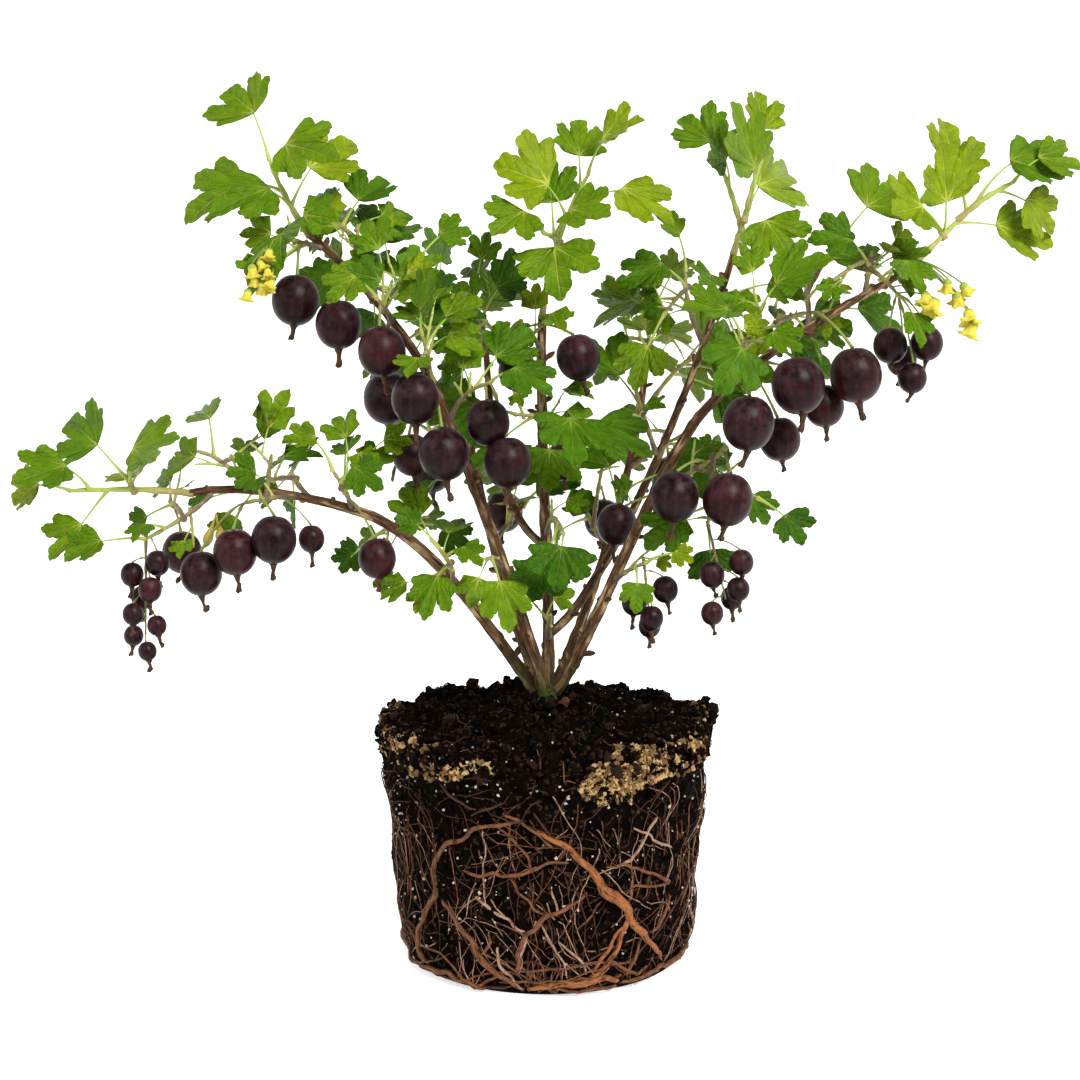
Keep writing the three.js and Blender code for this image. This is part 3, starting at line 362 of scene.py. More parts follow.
class Room:
    """Balls that stand for everything placed so far, each with its owner and kind."""

    def __init__(self, most=30000):
        self.count = 0
        self.centres = np.zeros((most, 3))
        self.radii = np.zeros(most)
        self.owners = np.zeros(most, int)
        self.kinds = np.zeros(most, int)

    def claim(self, owner, kind, centres, radii):
        """Adds balls."""
        rows = slice(self.count, self.count + len(centres))
        self.centres[rows], self.radii[rows] = centres, radii
        self.owners[rows], self.kinds[rows] = owner, kind
        self.count = rows.stop

    def claim_limb(self, owner, curve, foot, tip):
        """Adds balls along a limb, each a little larger than it is thick there."""
        share = np.linspace(0, 1, math.ceil(curve.length() / CLEAR_STEP) + 1)
        self.claim(owner, WOOD, curve.point(share), lerp(foot, tip, share) + CLEAR)

    def is_clear(self, owner, centres, radius):
        """Whether balls are inside the crown, and further from all others than both radii, which
        count for less between leaves of one owner; an owner's own wood is passed over."""
        if np.any(centres < CROWN_LOW) or np.any(centres > CROWN_HIGH):
            return False
        own = self.owners[: self.count] == owner
        kinds = self.kinds[: self.count]
        share = np.where(own, OWN_ROOM, 1.0)
        room = share * radius + np.where(kinds == LEAF, share, 1.0) * self.radii[: self.count]
        apart = np.linalg.norm(centres[:, None] - self.centres[: self.count], axis=-1)
        return bool(np.all((apart > room) | (own & (kinds == WOOD))))


def twig_curve(foot, direction, tip):
    """A quadratic curve that arches from foot to tip."""
    length = np.linalg.norm(foot - tip)
    middle = foot + TWIG_LEAD * length * direction + TWIG_ARCH * length * UP
    return Bend([foot, middle, tip], TWIG_STEPS)


def twig_foot(plan, order, end, stem):
    """Foot and first direction of a mass's twig: its stem is on the bough, the rest on the stem."""
    if order > 0:
        point = stem.point(FORK_FIRST + FORK_STEP * (order - 1))
        return point, unit(end - point)
    limb = boughs[plan.bough]
    towards = unit(end - limb.curve.point(plan.at))
    return on_bough(limb, plan.at, towards, TWIG_RADIUS)


def hold_point(curves, place):
    """The point on some twigs that a stalk hangs from: the nearest, with a cost on being too low."""
    share = np.arange(HOLD_FIRST, HOLD_STEPS + 1) / HOLD_STEPS
    points = np.concatenate([curve.point(share) for curve in curves])
    below = np.maximum(0, place[2] + STALK_RISE - points[:, 2])
    cost = np.linalg.norm(points - place, axis=1) + HOLD_FALL * below
    return points[np.argmin(cost)]


def cluster(top, count, radius, draw):
    """Small berries packed round a hanging stalk, each a golden turn on and one step down."""
    rows = []
    for i in range(count):
        turn = i * GOLDEN_TURN + draw()
        reach = radius * between(CLUSTER_REACH, draw)
        size = radius * (1 - CLUSTER_TAPER * i) * between(CLUSTER_SIZE, draw)
        drop = radius * (1 + CLUSTER_STEP * i)
        x, y, z = top
        rows.append((x + reach * math.cos(turn), y + reach * math.sin(turn), z - drop, size))
    return rows


def grow_twigs(index, plan):
    """The twigs and the fruit of one mass, with their room claimed."""
    draw = seeded(FIRST_SEED + SEED_STEP * index)
    twigs = []
    for order, (*tip, leaves, width) in enumerate(plan.twigs):
        end = np.array(tip, float)
        point, direction = twig_foot(plan, order, end, twigs[0].curve if twigs else None)
        twigs.append(Twig(twig_curve(point, direction, end), leaves, width))
    fruit = list(plan.fruit)
    for *top, count, radius in plan.clusters:
        end = np.array(top, float)
        hold = hold_point([twig.curve for twig in twigs], end)
        end[2] -= CLUSTER_STEP * radius * (count - 1)
        twigs.append(Twig(Bend([hold, end], 1), 0, 0))
        fruit += cluster(top, count, radius, draw)
    for twig in twigs:
        room.claim_limb(index, twig.curve, TWIG_RADIUS, TWIG_RADIUS)
    for x, y, z, radius in fruit:
        room.claim(index, FRUIT, [(x, y, z)], radius * FRUIT_STRETCH + CLEAR)
    return Mass(plan, twigs, fruit, draw)


def petiole_direction(along, order, turn):
    """Way of a petiole from its twig: the end leaf goes on, the others stand round it."""
    side = np.cross(along, UP)
    side = unit(side) if np.linalg.norm(side) > 0.2 else np.array([1.0, 0, 0])
    over = np.cross(side, along)
    spread = END_SPREAD if order == 0 else SIDE_SPREAD
    round_twig = math.cos(turn) * side + math.sin(turn) * over
    return unit(math.cos(spread) * along + math.sin(spread) * round_twig + LEAF_LIFT * UP)


def leaf_place(start, direction, width, draw):
    """The frame of one leaf: where its petiole starts, its blade's centre and its three axes."""
    base = start + width * between(PETIOLE_LENGTH, draw) * direction
    light = unit(np.array([LIGHT_SPREAD * start[0], start[1] - LIGHT_BACK, 0.0]))
    stray = [between(LIGHT_STRAY, draw), between(LIGHT_STRAY, draw), between(LIGHT_RISE, draw)]
    light = unit(light + stray)
    rib = direction - between(RIB_DROOP, draw) * UP
    rib = unit(rib - BLADE_TURN * (rib @ light) * light)
    face = unit(light - (light @ rib) * rib)
    radius = width / (2 * (1 + BLADE_LOBE_DEPTH))
    centre = base + radius * (1 - BLADE_LOBE_DEPTH) * rib
    fold = between(BLADE_FOLD, draw)
    return Leaf(start, base, centre, rib, face, np.cross(rib, face), radius, fold)


def blade_balls(leaf):
    """Points spread over a blade: its middle, and rings of 5 and 10 at 0.45 and 0.9 of its rim."""
    angle = np.concatenate([np.arange(5) / 5, np.arange(10) / 10]) * 2 * math.pi
    ring = np.repeat([0.45, 0.9], [5, 10])
    reach = ring * leaf.radius * (1 + BLADE_LOBE_DEPTH * np.cos(BLADE_LOBES * angle))
    across, along = reach * np.sin(angle), reach * np.cos(angle)
    rise = leaf.fold * (np.abs(across) - BLADE_CURL * along * np.abs(along) / leaf.radius)
    offsets = np.outer(across, leaf.cross) + np.outer(along, leaf.rib) + np.outer(rise, leaf.face)
    return np.concatenate([leaf.centre[None], leaf.centre + offsets])


def grow_leaf(owner, curve, order, width, first, draw):
    """One leaf of a twig where there is room for it, turned on round the twig until there is."""
    share = max(LEAF_LOWEST, 1 - order * LEAF_SPACING / curve.length())
    size = width * between(BLADE_SIZE, draw)
    for attempt in range(LEAF_TRIES):
        turn = first + order * GOLDEN_TURN + attempt * RETRY_TURN
        direction = petiole_direction(curve.tangent(share), order, turn)
        leaf = leaf_place(curve.point(share), direction, size, draw)
        petiole = np.array([lerp(leaf.start, leaf.base, t) for t in (0.5, 1)])
        balls = blade_balls(leaf)
        rim = LEAF_ROOM * leaf.radius
        if room.is_clear(owner, petiole, PETIOLE_RADIUS) and room.is_clear(owner, balls, rim):
            room.claim(owner, LEAF, balls, rim)
            return leaf._replace(start=curve.smooth(share))
    return None


def grow_leaves(index, mass):
    """The leaves of one mass, round each twig from its tip back."""
    leaves = []
    for twig in mass.twigs:
        first = 2 * math.pi * mass.draw()
        for order in range(twig.leaves):
            leaf = grow_leaf(index, twig.curve, order, twig.width, first, mass.draw)
            if leaf:
                leaves.append(leaf)
    return leaves


boughs = grow_boughs()
room = Room()
for number, limb in enumerate(boughs.values()):
    room.claim_limb(-1 - number, limb.curve, limb.foot, limb.tip)
mass_plans = [Plan(bough, *row) for bough, rows in MASS_PLAN.items() for row in rows]
masses = [grow_twigs(index, plan) for index, plan in enumerate(mass_plans)]
mass_leaves = [grow_leaves(index, mass) for index, mass in enumerate(masses)]


# --- Shapes ---


def turns(count):
    """Evenly spread angles of one full turn."""
    return 2 * math.pi * np.arange(count) / count


def polar(reach, angle, height):
    """Points at a reach and an angle round the upright axis, and at a height."""
    return np.stack(np.broadcast_arrays(reach * np.cos(angle), reach * np.sin(angle), height), -1)


def outward(points):
    """Level directions away from the upright axis."""
    return unit(points * [1, 1, 0])


def square_axes(up, draw):
    """Three directions square to one another for each row, the last of them given."""
    side = unit(np.cross(up, draw.normal(0, 1, up.shape)))
    return side, np.cross(up, side), up


def turned(shape, axes):
    """A shape's points laid along three axes: x * first + y * second + z * third."""
    return sum(shape[..., k, None] * axes[k][:, None] for k in range(3))


def arches(starts, middles, ends, count):
    """Quadratic curves: (1 - t)^2 * start + 2 t (1 - t) * middle + t^2 * end."""
    share = np.linspace(0, 1, count)[:, None]
    weights = [(1 - share) ** 2, 2 * share * (1 - share), share**2]
    return sum(w[None] * p[:, None] for w, p in zip(weights, (starts, middles, ends)))


def at_ends(share, width):
    """exp(-(t / w)^2) + exp(-((1 - t) / w)^2), which is 1 at both ends of a path and 0 between."""
    return np.exp(-((share / width) ** 2)) + np.exp(-(((1 - share) / width) ** 2))


def fade(share):
    """3 t^2 - 2 t^3, which starts and ends level."""
    return share * share * (3 - 2 * share)


def noise(points, size, seed=0):
    """Smooth noise from -1 to 1 whose lumps are about one size across: the corners of a grid of
    cubes have hashed values, and those are blended by fade(share) along each axis."""
    at = np.asarray(points, float) / size + 91.7
    cell = np.floor(at).astype(np.int64)
    share = fade(at - cell)
    total = np.zeros(at.shape[:-1])
    for corner in np.ndindex(2, 2, 2):
        x, y, z = np.moveaxis(cell + corner, -1, 0)
        hashed = (x * 73856093) ^ (y * 19349663) ^ (z * 83492791) ^ (seed * 2654435761)
        hashed = (hashed ^ (hashed >> 13)) * 1274126177 & 0xFFFFFFFF
        value = ((hashed ^ (hashed >> 16)) & 0xFFFF) / 32767.5 - 1
        total += np.prod(np.where(corner, share, 1 - share), axis=-1) * value
    return total


def grid_faces(rows, columns, closed):
    """Quads between neighbouring points of a grid that is counted row by row."""
    row, column = np.mgrid[0 : rows - 1, 0 : columns if closed else columns - 1]
    here = row * columns + column
    beside = row * columns + (column + 1) % columns
    return np.stack([here, beside, beside + columns, here + columns], -1).reshape(-1, 4)


def skin_faces(rings, sides):
    """Faces of a skin of rings: quads between them, and a fan round the pole at each end. The poles
    are counted after the rings."""
    side = np.arange(sides)
    after = (side + 1) % sides
    last = (rings - 1) * sides
    foot = np.stack([np.full(sides, rings * sides), after, side], -1)
    tip = np.stack([np.full(sides, rings * sides + 1), last + side, last + after], -1)
    return [grid_faces(rings, sides, True), np.concatenate([foot, tip])]


def with_poles(rings, foot, tip):
    """The points of a skin of rings, with its two poles last."""
    return np.concatenate([rings.reshape(-1, 3), [foot, tip]])


STEEP = 0.75  # share of rise in a path from which its tube is laid out from the front


def tubes(paths, radii, sides, reference=None):
    """Tubes round paths, all of one count of points. A point is path + radius * (cos(a) * across
    + sin(a) * over), with across = reference x along and over = along x across. Gives the points
    with the two poles last, the faces, and a pattern place for each point: radius * cos(a),
    radius * sin(a) and the length run along the path."""
    copies, count = paths.shape[:2]
    along = unit(np.gradient(paths, axis=1))
    if reference is None:
        level = np.abs(unit(paths[:, -1] - paths[:, 0])[:, 2:]) < STEEP
        reference = np.where(level, UP, FRONT)[:, None]
    across = unit(np.cross(reference, along))
    over = np.cross(along, across)
    angle = turns(sides)
    radii = np.broadcast_to(radii, (copies, count))[..., None]
    spokes = radii * np.stack([np.cos(angle), np.sin(angle)])[:, None, None]
    skin = paths[:, :, None] + spokes[0][..., None] * across[:, :, None]
    skin = skin + spokes[1][..., None] * over[:, :, None]
    points = np.concatenate([skin.reshape(copies, -1, 3), paths[:, :1], paths[:, -1:]], 1)
    steps = np.linalg.norm(np.diff(paths, axis=1), axis=-1)
    run = np.concatenate([np.zeros((copies, 1)), np.cumsum(steps, 1)], 1)
    places = np.stack([*spokes, np.broadcast_to(run[..., None], spokes[0].shape)], -1)
    poles = np.zeros((copies, 2, 3))
    poles[:, 1, 2] = run[:, -1]
    places = np.concatenate([places.reshape(copies, -1, 3), poles], 1)
    return points, skin_faces(count, sides), places


class Piece:
    """A mesh in the making, of copies of shapes. Points are (copies, count, 3) in millimetres,
    faces one copy's corner numbers, a finish a number for each list of faces and copy, and places
    what a pattern reads."""

    def __init__(self, name, finishes):
        self.name, self.finishes, self.count = name, finishes, 0
        self.points, self.places, self.corners, self.sizes, self.slots = [], [], [], [], []

    def add(self, points, faces, finish=0, places=None):
        """Adds copies of a shape."""
        copies, each = points.shape[:2]
        starts = self.count + each * np.arange(copies)
        finish = finish if isinstance(finish, list) else [finish] * len(faces)
        for kind, number in zip(faces, finish):
            self.corners.append((starts[:, None, None] + kind).ravel())
            self.sizes.append(np.full(copies * len(kind), kind.shape[1]))
            self.slots.append(np.repeat(np.broadcast_to(number, copies), len(kind)))
        self.points.append(points.reshape(-1, 3))
        places = np.zeros(3) if places is None else places
        self.places.append(np.broadcast_to(places, (copies, each, 3)).reshape(-1, 3))
        self.count += copies * each

    def add_stems(self, paths, radii, sides, finish=0, rough=0):
        """Adds tubes, roughened by some millimetres, whose places are shares of their length."""
        points, faces, places = tubes(paths, radii, sides)
        if rough:
            points = points + rough * noise(points, 1.7, 3)[..., None]
        self.add(points, faces, finish, places / np.maximum(places[:, -1:, 2:], 1))

    def make(self, nodes, sharp=60):
        """Makes the mesh and its object, which rides on the plant and stands for some nodes."""
        mesh = bpy.data.meshes.new(self.name)
        points = np.concatenate(self.points) * MM
        corners = np.concatenate(self.corners)
        sizes = np.concatenate(self.sizes)
        mesh.vertices.add(len(points))
        mesh.vertices.foreach_set("co", points.ravel())
        mesh.loops.add(len(corners))
        mesh.loops.foreach_set("vertex_index", corners)
        mesh.polygons.add(len(sizes))
        mesh.polygons.foreach_set("loop_start", np.cumsum(sizes) - sizes)
        mesh.polygons.foreach_set("material_index", np.concatenate(self.slots))
        mesh.update(calc_edges=True)
        layer = mesh.attributes.new("pattern", "FLOAT_VECTOR", "POINT")
        layer.data.foreach_set("vector", np.concatenate(self.places).ravel())
        for finish in self.finishes:
            mesh.materials.append(finish)
        mesh.shade_smooth()
        mesh.set_sharp_from_angle(angle=math.radians(sharp))
        piece = bpy.data.objects.new(self.name, mesh)
        bpy.context.scene.collection.objects.link(piece)
        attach(piece, "root")
        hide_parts(*nodes)


# --- Wood ---

BARK_SIDES = 20
BARK_STEP = 1.3
FLARE = 0.12  # how much thicker a stem is at the stool, as a share of its radius
FLARE_LENGTH = 9
STEM_SUNK = 11.0  # how far a stem's foot is carried back into the stool
BOUGH_SUNK = 3.0  # and a bough's into the bough it springs from
SUNK_STATIONS = 5
RELIEF_RADIUS = 3  # radius of the wood that bark_relief is given for


def stations(curve, step):
    """Evenly spread shares of a curve's length, about one step apart."""
    return np.linspace(0, 1, max(4, int(curve.length() / step) + 1))


def bark_relief(places, seed):
    """Relief of old wood in millimetres: long ridges, which are noise squeezed to a quarter along
    the limb, with knobs 5 mm apart and fine roughness."""
    ridges = noise(places * [1.3, 1.3, 0.25], 1.6, seed)
    knobs = np.clip(noise(places * [0.7, 0.7, 1.0], 5.0, seed + 1), 0.15, 1) - 0.15
    return 0.22 * ridges + 0.9 * knobs + 0.1 * noise(places, 0.8, seed + 2)


def bough_path(limb):
    """A bough's stations with its foot carried back into what it springs from, and their radii."""
    share = stations(limb.curve, BARK_STEP)
    path = limb.curve.smooth(share)
    rooted = limb.parent == "stool"
    back = np.linspace(STEM_SUNK if rooted else BOUGH_SUNK, BARK_STEP, SUNK_STATIONS)
    path = np.concatenate([path[0] - back[:, None] * limb.curve.tangent(0), path])
    radii = np.concatenate([np.full(SUNK_STATIONS, limb.foot), lerp(limb.foot, limb.tip, share)])
    if rooted:
        run = np.concatenate([np.zeros(SUNK_STATIONS), share * limb.curve.length()])
        radii = radii * (1 + FLARE * np.exp(-run / FLARE_LENGTH))
    return path, radii


def add_boughs(piece):
    """Every bough as a tube whose points are pushed out by bark_relief."""
    for number, limb in enumerate(boughs.values()):
        path, radii = bough_path(limb)
        points, faces, places = tubes(path[None], radii, BARK_SIDES)
        skin = slice(0, len(path) * BARK_SIDES)
        out = unit(points[0, skin] - np.repeat(path, BARK_SIDES, axis=0))
        relief = bark_relief(places[0, skin] + 50 * number, 5 * number)
        points[0, skin] += (relief * np.repeat(radii, BARK_SIDES) / RELIEF_RADIUS)[:, None] * out
        piece.add(points, faces, 0, places)


SPUR_SIDES = 7
SPUR_SPACING = 13
SPUR_STATIONS = np.array([0, 0.35, 0.62, 0.85, 1])
SPUR_RADII = np.array([1.5, 1.15, 1.35, 0.9, 0.2])
SPUR_REACH, SPUR_LEAN, SPUR_SIZE = (0.06, 0.97), (0.3, 1.1), (0.75, 1.25)
SPUR_LENGTH, SPUR_LEAST = (2.5, 5.5), 1.5


def add_spurs(piece):
    """Short woody spurs and buds on the boughs: tubes of five stations that swell and close."""
    draw = np.random.default_rng(11)
    paths, radii = [], []
    for limb in boughs.values():
        count = int(limb.curve.length() / SPUR_SPACING)
        for share in np.sort(draw.uniform(*SPUR_REACH, count)):
            across, out = section(limb.curve, share)
            turn = draw.uniform(0, 2 * math.pi)
            away = math.cos(turn) * across + math.sin(turn) * out
            away = unit(away + draw.uniform(*SPUR_LEAN) * limb.curve.tangent(share))
            size = draw.uniform(*SPUR_SIZE)
            length = size * draw.uniform(*SPUR_LENGTH) + SPUR_LEAST
            foot = limb.curve.smooth(share) + 0.4 * lerp(limb.foot, limb.tip, share) * away
            paths.append(foot + SPUR_STATIONS[:, None] * length * away)
            radii.append(size * SPUR_RADII)
    points, faces, places = tubes(np.array(paths), np.array(radii), SPUR_SIDES)
    piece.add(points + 0.16 * noise(points, 1.0, 4)[..., None], faces, 0, places)


STOOL_SPAN = 15  # radius of the stool where it meets the soil
STOOL_RINGS, STOOL_SIDES = 40, 72


def add_stool(piece):
    """The stool: rings from 7 mm below its middle to a lumpy crown 5 mm above. A ring's radius is
    15 mm at its foot and goes in as cos(1.45 t)^0.5, swollen towards each stem, by exp(6 cos(a) - 6)
    round it, and rough with old bark."""
    share = np.linspace(0, 1, STOOL_RINGS)[:, None]
    angle = turns(STOOL_SIDES)
    rise = -7 + 12 * np.sin(share * math.pi / 2)
    reach = (STOOL_SPAN - 4 * fade(np.clip(share * 2, 0, 1))) * np.cos(share * 1.45) ** 0.5
    stems = [root[1] for root, *_ in BOUGH_PLAN.values() if root[0] == "stool"]
    swell = sum(np.exp(6 * (np.cos(angle - math.radians(a)) - 1)) for a in stems)
    ring = polar(reach * (0.72 + 0.26 * swell), angle, STOOL_CENTRE[2] + rise)
    rough = 1.6 * noise(ring, 5.0, 7) + 1.0 * noise(ring, 2.2, 8) + 0.5 * noise(ring, 1.1, 9)
    ring = ring + rough[..., None] * unit(ring - STOOL_CENTRE + [0, 0, 6])
    points = with_poles(ring, STOOL_CENTRE - 8 * UP, STOOL_CENTRE + 5.4 * UP)[None]
    piece.add(points, skin_faces(STOOL_RINGS, STOOL_SIDES), 1, points * [1, 1, 0.6])


# Beside the stems: a cut old stem, green with moss, and a swelling bud. Foot, top and radii.
STUBS = [
    ((1, -6, 116), (-1, -5, 137), (9.4, 9.0, 7.6, 6.0, 4.2, 2.0)),
    ((7, -12, 118), (9, -13, 130), (2.2, 3.0, 3.4, 3.0, 2.0, 0.8)),
]
STUB_STATIONS, STUB_SIDES = 30, 24


def add_stubs(piece):
    """The stub and the bud: tubes whose radii swell and close, rough with scales."""
    share = np.linspace(0, 1, STUB_STATIONS)
    for number, (foot, top, thick) in enumerate(STUBS):
        path = lerp(np.array(foot, float), np.array(top, float), share[:, None])
        radii = np.interp(share, np.linspace(0, 1, len(thick)), thick)
        points, faces, _ = tubes(path[None], radii, STUB_SIDES)
        rough = 0.9 * noise(points, 1.8, 71) + 2.0 * noise(points, 4.5, 72)
        axis = np.interp(points[..., 2], path[:, 2], path[:, 0])
        out = points - np.stack([axis, 0 * axis + path[:, 1].mean(), points[..., 2]], -1)
        piece.add(points + rough[..., None] * unit(out + 1e-6), faces, 2 + number, points * [1, 1, 5])


# --- Twigs and side shoots ---

TWIG_STATIONS = 14
TWIG_SIDES = 8
TWIG_SHARE = np.linspace(0, 1, TWIG_STATIONS)
TWIG_SUNK = 2.2  # how far a twig's foot is drawn back into what it springs from
TWIG_JOINTS = 3.5  # swellings along a twig
TWIG_SWELL, TWIG_ROUGH = 0.16, 0.14  # a swelling as a share of the radius, and roughness
SHOOT_PLACE = (0.35, 0.92)  # share of the twig that a shoot springs from
SHOOT_LENGTH = (9, 17)
SHOOT_LEAF = (12, 22)  # width of a young leaf
SHOOT_LEAVES = 2
SHOOTS_PER_TWIG = 2
SPARSE_SHOOTS = 1  # on the masses that stand open
SHOOT_SEED = 7001

TIP_MASSES = ["left_tip", "upper_left_tip", "centre_tip", "inner_right_tip", "right_tip"]
SPARSE = ("left", "centre", "right", "rear", "inner_right")


def grow_side_shoots(index, mass):
    """The finer twigs of one mass: short side shoots by the same rule, each with up to two young
    leaves where there is room, kept only where a leaf grows. The masses at the tips have none."""
    draw = seeded(SHOOT_SEED + SEED_STEP * index)
    shoots, leaves = [], []
    name = mass.plan.name
    each = SPARSE_SHOOTS if name.startswith(SPARSE) else SHOOTS_PER_TWIG
    each = 0 if name in TIP_MASSES else each
    for twig in mass.twigs:
        for _ in range(each if twig.leaves else 0):
            share = between(SHOOT_PLACE, draw)
            direction = petiole_direction(twig.curve.tangent(share), 1, 2 * math.pi * draw())
            foot = twig.curve.smooth(share)
            curve = twig_curve(foot, direction, foot + between(SHOOT_LENGTH, draw) * direction)
            width, first = between(SHOOT_LEAF, draw), 2 * math.pi * draw()
            young = [grow_leaf(index, curve, k, width, first, draw) for k in range(SHOOT_LEAVES)]
            young = [leaf for leaf in young if leaf]
            if young:
                shoots.append(curve)
                leaves += young
    return shoots, leaves


def add_twigs(piece, curves, foot, tip, finish):
    """Twigs that swell at their joints, with their feet drawn back into what they spring from."""
    paths = np.array([curve.smooth(TWIG_SHARE) for curve in curves])
    paths[:, 0] -= TWIG_SUNK * unit(paths[:, 1] - paths[:, 0])
    joints = 1 + TWIG_SWELL * np.cos(2 * math.pi * TWIG_JOINTS * TWIG_SHARE)
    piece.add_stems(paths, lerp(foot, tip, TWIG_SHARE) * joints, TWIG_SIDES, finish, TWIG_ROUGH)


# --- Leaves ---

# The lobes of a leaf: middle, both ends (degrees round the petiole's end from the rib), length as a
# share of the middle lobe's, teeth, and teeth on a young leaf.
LOBES = [
    (-63, -84, -51, 0.63, 2, 1),
    (-36, -51, -18, 0.86, 4, 3),
    (0, -18, 18, 1.0, 5, 3),
    (36, 18, 51, 0.86, 4, 3),
    (63, 51, 84, 0.63, 2, 1),
]
SINUS = [0.12, 0.61, 0.53, 0.53, 0.61, 0.12]  # reach of the rim between lobes, and at the petiole
LOBE_STATIONS = 240
LOBE_POINT, LOBE_ROUND = 2.4, 0.62
TOOTH_DEPTH = 0.042
TOOTH_MIDDLE = 0.6
TOOTH_ROUND = 0.8
TOOTH_STEPS = 4
YOUNG_TOOTH_STEPS = 2
BLADE_RINGS = np.array([0.42, 1.0])
YOUNG_RINGS = np.array([1.0])
BLADE_REACH = 1.9  # from the petiole to the tip, in the source leaf's radii
BLADE_SKIN = 0.34  # thickness in millimetres
RIM_THINNER = 0.35  # how much thinner the rim is, as a share
BLADE_WIDE, BLADE_PLEAT, BLADE_DROOP = (0.9, 1.12), (0.04, 0.12), (-0.15, 0.42)  # picked for each
BLADE_WAVE = 0.06  # height of the rim's waves, as a share of the radius
FOLD_ROUND = 0.12  # radius of the fold along the middle vein, likewise


def gathered(leaves, *names):
    """An array of each named value of some leaves."""
    return [np.array([getattr(leaf, name) for leaf in leaves]) for name in names]


def blade_outline(young):
    """Angle, reach and place in its lobe of each ray of a blade. Within a lobe the smooth rim's reach
    goes from the sinus to the lobe's length as (1 - |x|^2.4)^0.62, with x from -1 to 1 across the lobe.
    Round teeth, even along the rim, then push it along its normal by depth * (tooth - 0.6)."""
    rays = []
    for number, (middle, low, high, length, grown_teeth, young_teeth) in enumerate(LOBES):
        teeth = young_teeth if young else grown_teeth
        angle = np.linspace(low, high, LOBE_STATIONS)
        half = np.where(angle < middle, middle - low, high - middle)
        x = np.abs(angle - middle) / half
        sinus = np.where(angle < middle, SINUS[number], SINUS[number + 1])
        reach = lerp(sinus, length, np.clip(1 - x**LOBE_POINT, 0, 1) ** LOBE_ROUND)
        rim = reach * np.stack([np.sin(np.radians(angle)), np.cos(np.radians(angle))])
        run = np.concatenate([[0], np.cumsum(np.hypot(*np.diff(rim)))])
        count = teeth * (YOUNG_TOOTH_STEPS if young else TOOTH_STEPS)
        along = np.arange(count + (number == len(LOBES) - 1)) / count
        rows = (*rim, *np.gradient(rim, axis=1), x)
        right, ahead, go_right, go_ahead, aside = [np.interp(along * run[-1], run, row) for row in rows]
        speed = np.hypot(go_right, go_ahead)
        tooth = np.abs(np.sin(math.pi * along * teeth)) ** TOOTH_ROUND
        near_end = np.clip(4 * np.minimum(along, 1 - along), 0.3, 1)
        push = TOOTH_DEPTH * (tooth - TOOTH_MIDDLE) * near_end
        right = right - push * go_ahead / speed
        ahead = ahead + push * go_right / speed
        rays.append([np.arctan2(right, ahead), np.hypot(right, ahead), aside])
    return np.concatenate(rays, 1)


def blade_faces(rings, rays):
    """Faces of a thin closed blade: its upper side, its lower side and its edge. Each side is the
    petiole point and a grid of rings and rays; the lower side's points follow the upper's."""
    ray = np.arange(rays - 1)
    fan = np.stack([0 * ray, ray + 2, ray + 1], -1)
    grid = grid_faces(rings, rays, False) + 1
    under = 1 + rings * rays
    first = 1 + rays * np.arange(rings)
    rim = first[-1] + np.arange(rays)
    loop = np.concatenate([[0], first[:-1], rim, (first + rays - 1)[-2::-1]])
    after = np.roll(loop, -1)
    edge = np.stack([loop, after, after + under, loop + under], -1)
    return [fan, grid, fan[:, ::-1] + under, grid[:, ::-1] + under, edge]


def blades(leaves, sizes, young, draw):
    """Points, places and faces of every leaf's blade. A point lies reach * ring from the petiole's
    end at its angle, the reach uneven by 7% and 3% in waves; its rise is the source's fold and curl,
    with pleats between the veins, a wavy rim and lobes that droop or cup a little."""
    base, rib, cross, face, radius, fold = gathered(leaves, "base", "rib", "cross", "face", "radius", "fold")
    radius = (sizes * radius)[:, None, None]
    fold = fold[:, None, None]
    rings = YOUNG_RINGS if young else BLADE_RINGS
    angle, reach, aside = blade_outline(young)
    count = len(leaves)
    each = (count, 1, 1)
    ring = rings[None, :, None]
    phase = draw.uniform(0, 2 * math.pi, each)
    uneven = 1 + 0.07 * np.sin(2.2 * angle + phase) + 0.03 * np.sin(7 * angle + 2 * phase)
    share = reach * uneven * ring
    distance = BLADE_REACH * radius * share
    wide = draw.uniform(*BLADE_WIDE, each)
    x = distance * np.sin(angle) * wide
    y = distance * np.cos(angle) / wide
    along = y - (1 - BLADE_LOBE_DEPTH) * radius
    bent = along * np.abs(along) / radius + (1 - BLADE_LOBE_DEPTH) ** 2 * radius
    soft = FOLD_ROUND * radius
    rise = fold * (np.sqrt(x**2 + soft**2) - soft - BLADE_CURL * bent)
    pleat = draw.uniform(*BLADE_PLEAT, each)
    rise = rise + pleat * radius * ring * np.sin(math.pi * np.minimum(aside, 1))
    rise = rise + BLADE_WAVE * radius * ring**2 * np.sin(5 * angle + phase)
    droop = draw.uniform(*BLADE_DROOP, each)
    rise = rise - droop * radius * share**2
    shape = [x[..., None] * cross[:, None, None], y[..., None] * rib[:, None, None]]
    middle = base[:, None, None] + shape[0] + shape[1] + rise[..., None] * face[:, None, None]
    middle = np.concatenate([base[:, None], middle.reshape(count, -1, 3)], 1)
    thin = np.concatenate([[1.0], np.repeat(1 - RIM_THINNER * rings, len(angle))])
    half = 0.5 * BLADE_SKIN * thin[:, None] * face[:, None]
    place = np.stack(np.broadcast_arrays(aside, rings[:, None], 0), -1).reshape(-1, 3)
    place = np.concatenate([[[0, 0, 0]], place])
    points = np.concatenate([middle + half, middle - half], 1)
    return points, np.concatenate([place, place]), blade_faces(len(rings), len(angle))


PETIOLE_STATIONS, PETIOLE_SIDES = 6, 5


